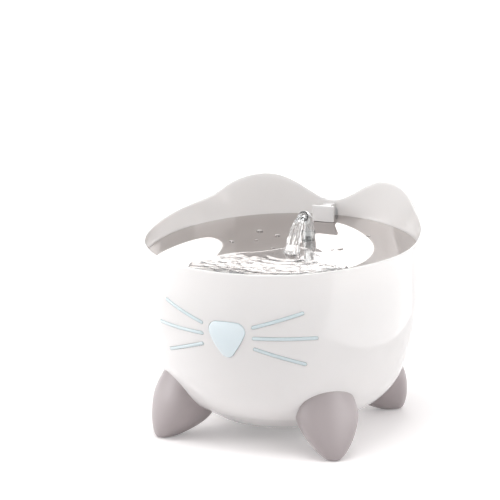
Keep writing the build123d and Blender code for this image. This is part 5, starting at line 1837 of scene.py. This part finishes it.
    def build(self, spout: Spout) -> None:
        """Builds and dresses the pool, the stream and the drops."""
        dress(self.pool(), WATER, Slot.CLEAR, Body.DISH)
        dress(self.droplets(), WATER, Slot.CLEAR, Body.DISH)
        dress(self.stream(spout), WATER, Slot.CLEAR, Body.NOZZLE)


# -------------------- back and inside

@dataclass
class CordDuct:
    """Cord cover that stands on the dish, its duct, and the grommet behind it."""

    half_w: float = 10.5
    front_y: float = 96.5
    thick: float = 3.2
    top_z: float = 178.0
    corner_r: float = 1.1
    top_r: float = 0.8
    lift: float = 0.3
    duct_half_w: float = 4.5
    duct_back_y: float = 118.0
    duct_bottom_z: float = 151.0
    wall: float = 1.8
    hollow_back_y: float = 130.0
    corner_steps: int = 6
    top_steps: int = 5
    smallest_r: float = 0.2

    def outline(self, inset: float) -> Ring:
        """Rounded plan outline of the plate, moved in.

        Args:
            inset: how far it is moved in.

        Returns:
            The outline, on the floor.
        """
        x, y, r = self.half_w - inset, self.thick / 2 - inset, max(self.corner_r - inset, self.smallest_r)
        middle = self.front_y + self.thick / 2
        return [Vector((a, middle + b, 0.0)) for a, b in rounded_box(x, y, r, self.corner_steps)]

    def cover(self) -> Piece:
        """The upright plate with soft edges, which follows the dish, and its hollow duct."""
        foot = [Vector((p.x, p.y, DISH.top_z(p.x, p.y) + self.lift)) for p in self.outline(0.0)]
        rings = [[sum(foot, Vector()) / len(foot)], foot]
        for k in range(self.top_steps + 1):
            t = QUARTER * k / self.top_steps
            rise = Vector((0, 0, self.top_z - self.top_r * (1 - sin(t))))
            rings.append([p + rise for p in self.outline(self.top_r * (1 - cos(t)))])
        rings.append([Vector((0, self.front_y + self.thick / 2, self.top_z))])
        plate = rings_to_mesh("cord_cover_plate", rings)
        half, top = self.duct_half_w, self.top_z - self.top_r
        duct = block_mesh("duct", (-half, half), (self.front_y + self.thick / 2, self.duct_back_y),
                          (self.duct_bottom_z, top))
        half -= self.wall
        hollow = block_mesh("hollow", (-half, half), (self.front_y + self.thick, self.hollow_back_y),
                            (self.duct_bottom_z - 1, top - self.wall))
        return carve(carve(plate, [duct], "UNION", CRISP), [hollow], angle=CRISP)

    def grommet(self) -> Piece:
        """Rubber grommet, flush outside, with a flange inside."""
        piece = refined_copy("cord_grommet", CRISP)
        piece.name = "cord_grommet_rubber"
        return piece

    def build(self) -> None:
        """Builds and dresses the cover and the grommet."""
        dress(self.cover(), COVER_GLOSS, Slot.COVER, Body.DUCT_COVER, "cord_cover")
        dress(self.grommet(), SEAL, Slot.SEAL, Body.BOWL, "cord_grommet")


@dataclass(frozen=True)
class Kept:
    """A piece whose CAD form is right: it is kept, with soft edges and a finish."""

    node: str
    finish: Finish
    slot: Slot
    body: Body
    edge: float = 0.0

    def build(self) -> None:
        """Builds and dresses the refined copy."""
        dress(refined_copy(self.node, edge=self.edge), self.finish, self.slot, self.body, self.node)


KEPT = (
    Kept("light_housing", CAPSULE_WHITE, Slot.CAPSULE, Body.BOWL, 0.3),
    Kept("light_back_cover", CAPSULE_WHITE, Slot.CAPSULE, Body.BOWL, 0.3),
    Kept("light_seal", SEAL, Slot.SEAL, Body.BOWL),
    Kept("light_board", BOARD, Slot.BOARD, Body.BOWL),
    Kept("nose_light", LAMP, Slot.LAMP, Body.BOWL, 0.15),
    Kept("light_screws", SCREW_ZINC, Slot.SCREW, Body.BOWL),
    Kept("filter_tray", TRAY_GREY, Slot.TRAY, Body.TRAY, 0.3),
    Kept("filter_frame", FRAME_WHITE, Slot.FRAME, Body.CARTRIDGE, 0.25),
    Kept("pump_body", PUMP_BLACK, Slot.PUMP, Body.PUMP, 0.4),
    Kept("motor_end_cap", PUMP_BLACK, Slot.PUMP, Body.PUMP, 0.4),
    Kept("pump_cord_gland", PUMP_BLACK, Slot.PUMP, Body.PUMP, 0.25),
    Kept("chamber_cover", PUMP_BLACK, Slot.PUMP, Body.PUMP, 0.25),
    Kept("pump_suction_cups", RUBBER, Slot.PAD, Body.PUMP, 0.15),
    Kept("motor_core", IRON_STACK, Slot.CORE, Body.PUMP, 0.15),
    Kept("rear_bush", RUBBER, Slot.PAD, Body.PUMP),
    Kept("front_bush", RUBBER, Slot.PAD, Body.PUMP),
    Kept("impeller_shaft", CERAMIC, Slot.SHAFT, Body.PUMP, 0.15),
    Kept("riser_pipe", CAPSULE_WHITE, Slot.CAPSULE, Body.PUMP, 0.15),
    Kept("rotor_magnet", MAGNET, Slot.MAGNET, Body.ROTOR, 0.15),
    Kept("impeller", IMPELLER_WHITE, Slot.IMPELLER, Body.ROTOR, 0.12),
    Kept("intake_grille", PUMP_BLACK, Slot.PUMP, Body.GRILLE, 0.3),
    Kept("flow_slider", PUMP_BLACK, Slot.PUMP, Body.SLIDER, 0.25),
)


@dataclass
class Inside:
    """Pieces under the dish that need more than their CAD form."""

    pocket_y: float = -8.0
    bed_r: float = 49.9
    bed_z: Pair = (109.6, 117.2)
    fleece_top: float = 124.6
    pump_z: float = 40.0
    coil_x: float = 8.5
    coil_y: Pair = (-25.0, -18.0)
    coil_half_h: float = 9.0
    coil_corner_r: float = 1.2
    wire_r: float = 0.55
    outlet: Pair = (18.5, 60.4)
    hose_bend_r: float = 14.0
    hose_angle: float = 75.0
    hose_start_z: float = 68.0
    hose_top_z: float = 105.0
    hose_r: float = 6.3
    hose_bore_r: float = 4.55
    bend_points: int = 10
    hose_steps: int = 48
    hose_end: float = 0.5
    bed_steps: int = 96
    bed_gap: Pair = (0.3, 0.6)
    wire_gap: float = 0.1
    wire_nest: float = 1.8
    fleece_gap: float = 0.05
    fleece_soft: float = 0.5
    fleece_steps: int = 160
    fleece_bands: int = 28
    fleece_crown: float = 1.8
    lumps: tuple[Triple, ...] = ((0.35, 0.3, 1.0), (0.2, 1.1, 5.0))
    grain_density: float = 170000.0
    grain_radius: float = 0.00055
    grain_seed: int = 7
    grain_angle: float = 25.0
    foam_edge: float = 0.8

    def fleece(self) -> Piece:
        """Needled fleece pad with a soft crown and a fibrous, uneven face."""
        low, top, middle = self.bed_z[1] + self.fleece_gap, self.fleece_top, (0.0, self.pocket_y)
        rings = [[Vector((*middle, low))], level_ring(middle, self.bed_r, low, self.fleece_steps)]
        for band in range(self.fleece_bands + 1):
            share = 1 - band / self.fleece_bands
            ring = level_ring(middle, self.bed_r * share, top, self.fleece_steps)
            for place in ring:
                lumps = sum(height * noise.noise(Vector((*(place.xy * pitch), seed)))
                            for height, pitch, seed in self.lumps)
                place.z = min(top - self.fleece_soft + lumps - self.fleece_crown * share ** 14, top)
            rings.append(ring if share else ring[:1])
        return rings_to_mesh("filter_fleece_pad", rings)

    def carbon(self) -> Piece:
        """Bed of carbon with loose grains on its lower face."""
        (low, high), (side, under) = self.bed_z, self.bed_gap
        bed = stepped_round("carbon_bed", low + under, [(self.bed_r - side, high)], self.bed_steps,
                            (0.0, self.pocket_y))
        return scatter_tree().run("filter_carbon_bed", bed, {
            "Density": self.grain_density, "Grain Size": self.grain_radius, "Seed": self.grain_seed},
            CARBON, self.grain_angle)

    def winding(self) -> Piece:
        """Copper winding: round wire laid side by side round the iron."""
        clear = self.wire_r + self.wire_gap
        front, back = self.coil_y
        layers = []
        tree = winding_tree()
        for layer in range(2):
            grow = clear + layer * self.wire_r * self.wire_nest
            outline = rounded_box((back - front) / 2 + grow, self.coil_half_h + grow,
                                  self.coil_corner_r + grow, 4)
            x = -self.coil_x + self.wire_r * (1 + layer)
            loop = [Vector((x, (front + back) / 2 + y, self.pump_z + z)) for y, z in outline]
            data = bpy.data.meshes.new("turn")
            data.from_pydata([p * MM for p in loop], [(i, (i + 1) % len(loop)) for i in range(len(loop))], [])
            turns = int((2 * self.coil_x - 2 * self.wire_r) / (2 * self.wire_r)) - layer
            layers.append(tree.run("coil_layer", link("turn", data), {
                "Turns": turns, "Pitch": 2 * self.wire_r * MM, "Wire Radius": self.wire_r * MM},
                COPPER_WIRE, ROUND))
        return join("motor_winding_turns", layers, ROUND)

    def hose_path(self) -> list[Vector]:
        """Centre line of the hose from the pump's outlet to the riser pipe."""
        y, z = self.outlet
        r, a = self.hose_bend_r, radians(self.hose_angle)
        turns = [a * k / self.bend_points for k in range(1, self.bend_points + 1)]
        points = [Vector((0, y, z)), Vector((0, y, z + 4)), Vector((0, y, self.hose_start_z))]
        points += [Vector((0, y + r * (1 - cos(t)), self.hose_start_z + r * sin(t))) for t in turns]
        run = (SPOUT_Y - y - 2 * r * (1 - cos(a))) / sin(a)
        start = points[-1] + Vector((0, sin(a), cos(a))) * run
        points += [(points[-1] + start) / 2, start]
        points += [start + Vector((0, r * (cos(a - t) - cos(a)), r * (sin(a) - sin(a - t)))) for t in turns]
        top = points[-1].z
        points += [Vector((0, SPOUT_Y, top + (self.hose_top_z - top) * k / 3)) for k in (1, 2, 3)]
        return points

    def build(self) -> None:
        """Builds and dresses every piece under the dish."""
        dress(self.fleece(), FLEECE, Slot.FLEECE, Body.CARTRIDGE, "filter_fleece")
        dress(self.carbon(), CARBON, Slot.CARBON, Body.CARTRIDGE, "filter_carbon")
        dress(self.winding(), COPPER_WIRE, Slot.WINDING, Body.PUMP, "motor_winding")
        hose = tube("riser_hose_soft", self.hose_path(), self.hose_r, self.hose_bore_r,
                    self.hose_steps, self.hose_end)
        dress(hose, HOSE, Slot.HOSE, Body.PUMP, "riser_hose")
        foam = refined_copy("prefilter_sponge", edge=self.foam_edge)
        dress(foam, FOAM, Slot.SPONGE, Body.GRILLE, "prefilter_sponge")
        for piece in KEPT:
            piece.build()


# -------------------- studio

@dataclass(frozen=True)
class SoftBox:
    """A soft lamp that looks at a point, in metres and watts.

    With only_gloss it shows in glossy faces alone, as a reflector card does.
    """

    name: str
    place: Triple
    size: Pair
    power: float
    aim: Triple = (0.0, 0.0, 0.09)
    colour: Colour = (1.0, 1.0, 1.0)
    only_gloss: bool = False

    def build(self) -> None:
        """Hangs the lamp."""
        data = bpy.data.lights.new(self.name, "AREA")
        data.shape = "RECTANGLE"
        data.size, data.size_y = self.size
        data.energy = self.power
        data.color = self.colour
        lamp = link(self.name, data)
        lamp.location = self.place
        lamp.rotation_euler = facing(self.place, self.aim)
        lamp.visible_diffuse = not self.only_gloss
        lamp.visible_camera = False


SOFT_BOXES = (
    SoftBox("left_box", (-1.5, -0.5, 0.8), (1.2, 1.4), 13.0),
    SoftBox("left_fill", (-1.7, -1.9, 1.0), (2.6, 2.2), 12.5, colour=(0.98, 0.99, 1.0)),
    SoftBox("right_box", (1.7, -0.1, 0.7), (1.2, 1.4), 10.5),
    SoftBox("top_box", (0.1, 0.0, 1.9), (3.6, 3.2), 12.0),
    SoftBox("back_box", (-0.55, 2.2, 1.15), (3.5, 1.3), 24.0),
    SoftBox("front_box", (0.1, -0.50, 1.9), (1.0, 0.7), 13.5, (0.0, 0.05, 0.17)),
    SoftBox("right_card", (0.42, 0.05, 0.24), (0.52, 0.60), 1.1, (0.013, 0.05, 0.53), only_gloss=True),
)


def facing(place: Sequence[float], aim: Sequence[float]) -> Euler:
    """Turn of a lamp or camera at a place that looks at a point."""
    return (Vector(aim) - Vector(place)).to_track_quat("-Z", "Y").to_euler()


@dataclass
class Studio:
    """White floor, soft lamps and the camera."""

    azimuth: float = 22.3
    elevation: float = 14.70
    distance: float = 1.5974
    pivot: Triple = (0.0, 0.0, 0.090)
    target: Triple = (-0.0328, 0.0043, 0.1524)
    lens: float = 130.7
    sensor: float = 36.0
    clip: Pair = (0.01, 50.0)
    floor_half: float = 6.0
    floor_roughness: float = 0.85
    world_colour: Colour = (1.0, 0.995, 0.99)
    world_fill: float = 0.18
    world_seen: float = 0.82
    floor_colour: Colour = (0.93, 0.905, 0.905)
    floor_glow: tuple[tuple[str, float], ...] = (
        ("From Min", 0.15), ("From Max", 0.9), ("To Min", 0.22), ("To Max", 1.0))

    def camera(self) -> None:
        """Level camera with the lens's full frame and no shift."""
        data = bpy.data.cameras.new("view")
        data.lens, data.sensor_width = self.lens, self.sensor
        data.clip_start, data.clip_end = self.clip
        a, e = radians(self.azimuth), radians(self.elevation)
        away = Vector((sin(a) * cos(e), -cos(a) * cos(e), sin(e)))
        camera = link("view", data)
        camera.location = Vector(self.pivot) + away * self.distance
        camera.rotation_euler = facing(camera.location, self.target)
        bpy.context.scene.camera = camera

    def world(self) -> None:
        """White surroundings for the eye, for metal and for glass; a lower, even fill light."""
        world = bpy.data.worlds.new("studio")
        bpy.context.scene.world = world
        world.use_nodes = True
        graph = Graph(world.node_tree)
        back = world.node_tree.nodes["Background"]
        rays = graph.add("ShaderNodeLightPath")
        seen = graph.math("MAXIMUM", rays.outputs["Is Camera Ray"], rays.outputs["Is Transmission Ray"])
        seen = graph.math("MAXIMUM", seen, rays.outputs["Is Glossy Ray"])
        strength = graph.math("ADD", graph.math("MULTIPLY", seen, self.world_seen), self.world_fill)
        graph.join(strength, back.inputs["Strength"])
        back.inputs["Color"].default_value = (*self.world_colour, 1.0)

    def floor(self) -> None:
        """White floor that keeps the fountain's shadow."""
        half = self.floor_half
        data = bpy.data.meshes.new("floor")
        data.from_pydata([(-half, -half, 0), (half, -half, 0), (half, half, 0), (-half, half, 0)], [],
                         [(0, 1, 2, 3)])
        material = bpy.data.materials.new("floor_white")
        material.use_nodes = True
        graph = Graph(material.node_tree)
        shader = material.node_tree.nodes["Principled BSDF"]
        shader.inputs["Base Color"].default_value = (*self.floor_colour, 1.0)
        shader.inputs["Roughness"].default_value = self.floor_roughness
        shader.inputs["Emission Color"].default_value = (1.0, 1.0, 1.0, 1.0)
        rays = graph.add("ShaderNodeLightPath")
        seen = graph.math("MAXIMUM", rays.outputs["Is Camera Ray"], rays.outputs["Is Glossy Ray"])
        place = graph.add("ShaderNodeTexCoord")
        away = graph.add("ShaderNodeVectorMath", {0: place.outputs["Object"]}, operation="LENGTH")
        fade = graph.add("ShaderNodeMapRange", {**dict(self.floor_glow), "Value": away.outputs["Value"]})
        graph.join(graph.math("MULTIPLY", seen, fade.outputs[0]), shader.inputs["Emission Strength"])
        data.materials.append(material)
        link("floor", data)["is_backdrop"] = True

    def build(self) -> None:
        """Sets up the whole studio."""
        bpy.context.scene.view_settings.view_transform = "Standard"
        self.camera()
        self.world()
        self.floor()
        for box in SOFT_BOXES:
            box.build()


# -------------------- assembly

def corners(box: tuple[Vector, Vector]) -> list[list[float]]:
    """A box's corners as plain lists of metres."""
    return [[round(v, 6) for v in corner] for corner in box]


def main() -> None:
    """Builds the fountain, piece by piece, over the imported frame."""
    logging.basicConfig(level=logging.INFO, format="%(name)s: %(message)s")
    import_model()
    cad_box = corners(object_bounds())
    Studio().build()
    face, spout = Face(), Spout()
    BowlHousing().build(face)
    face.build()
    Feet().build()
    DrinkingDish().build()
    spout.build()
    Water().build(spout)
    CordDuct().build()
    Inside().build()
    {"cad_box": cad_box, "visual_box": corners(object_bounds())}


if __name__ == "__main__":
    main()
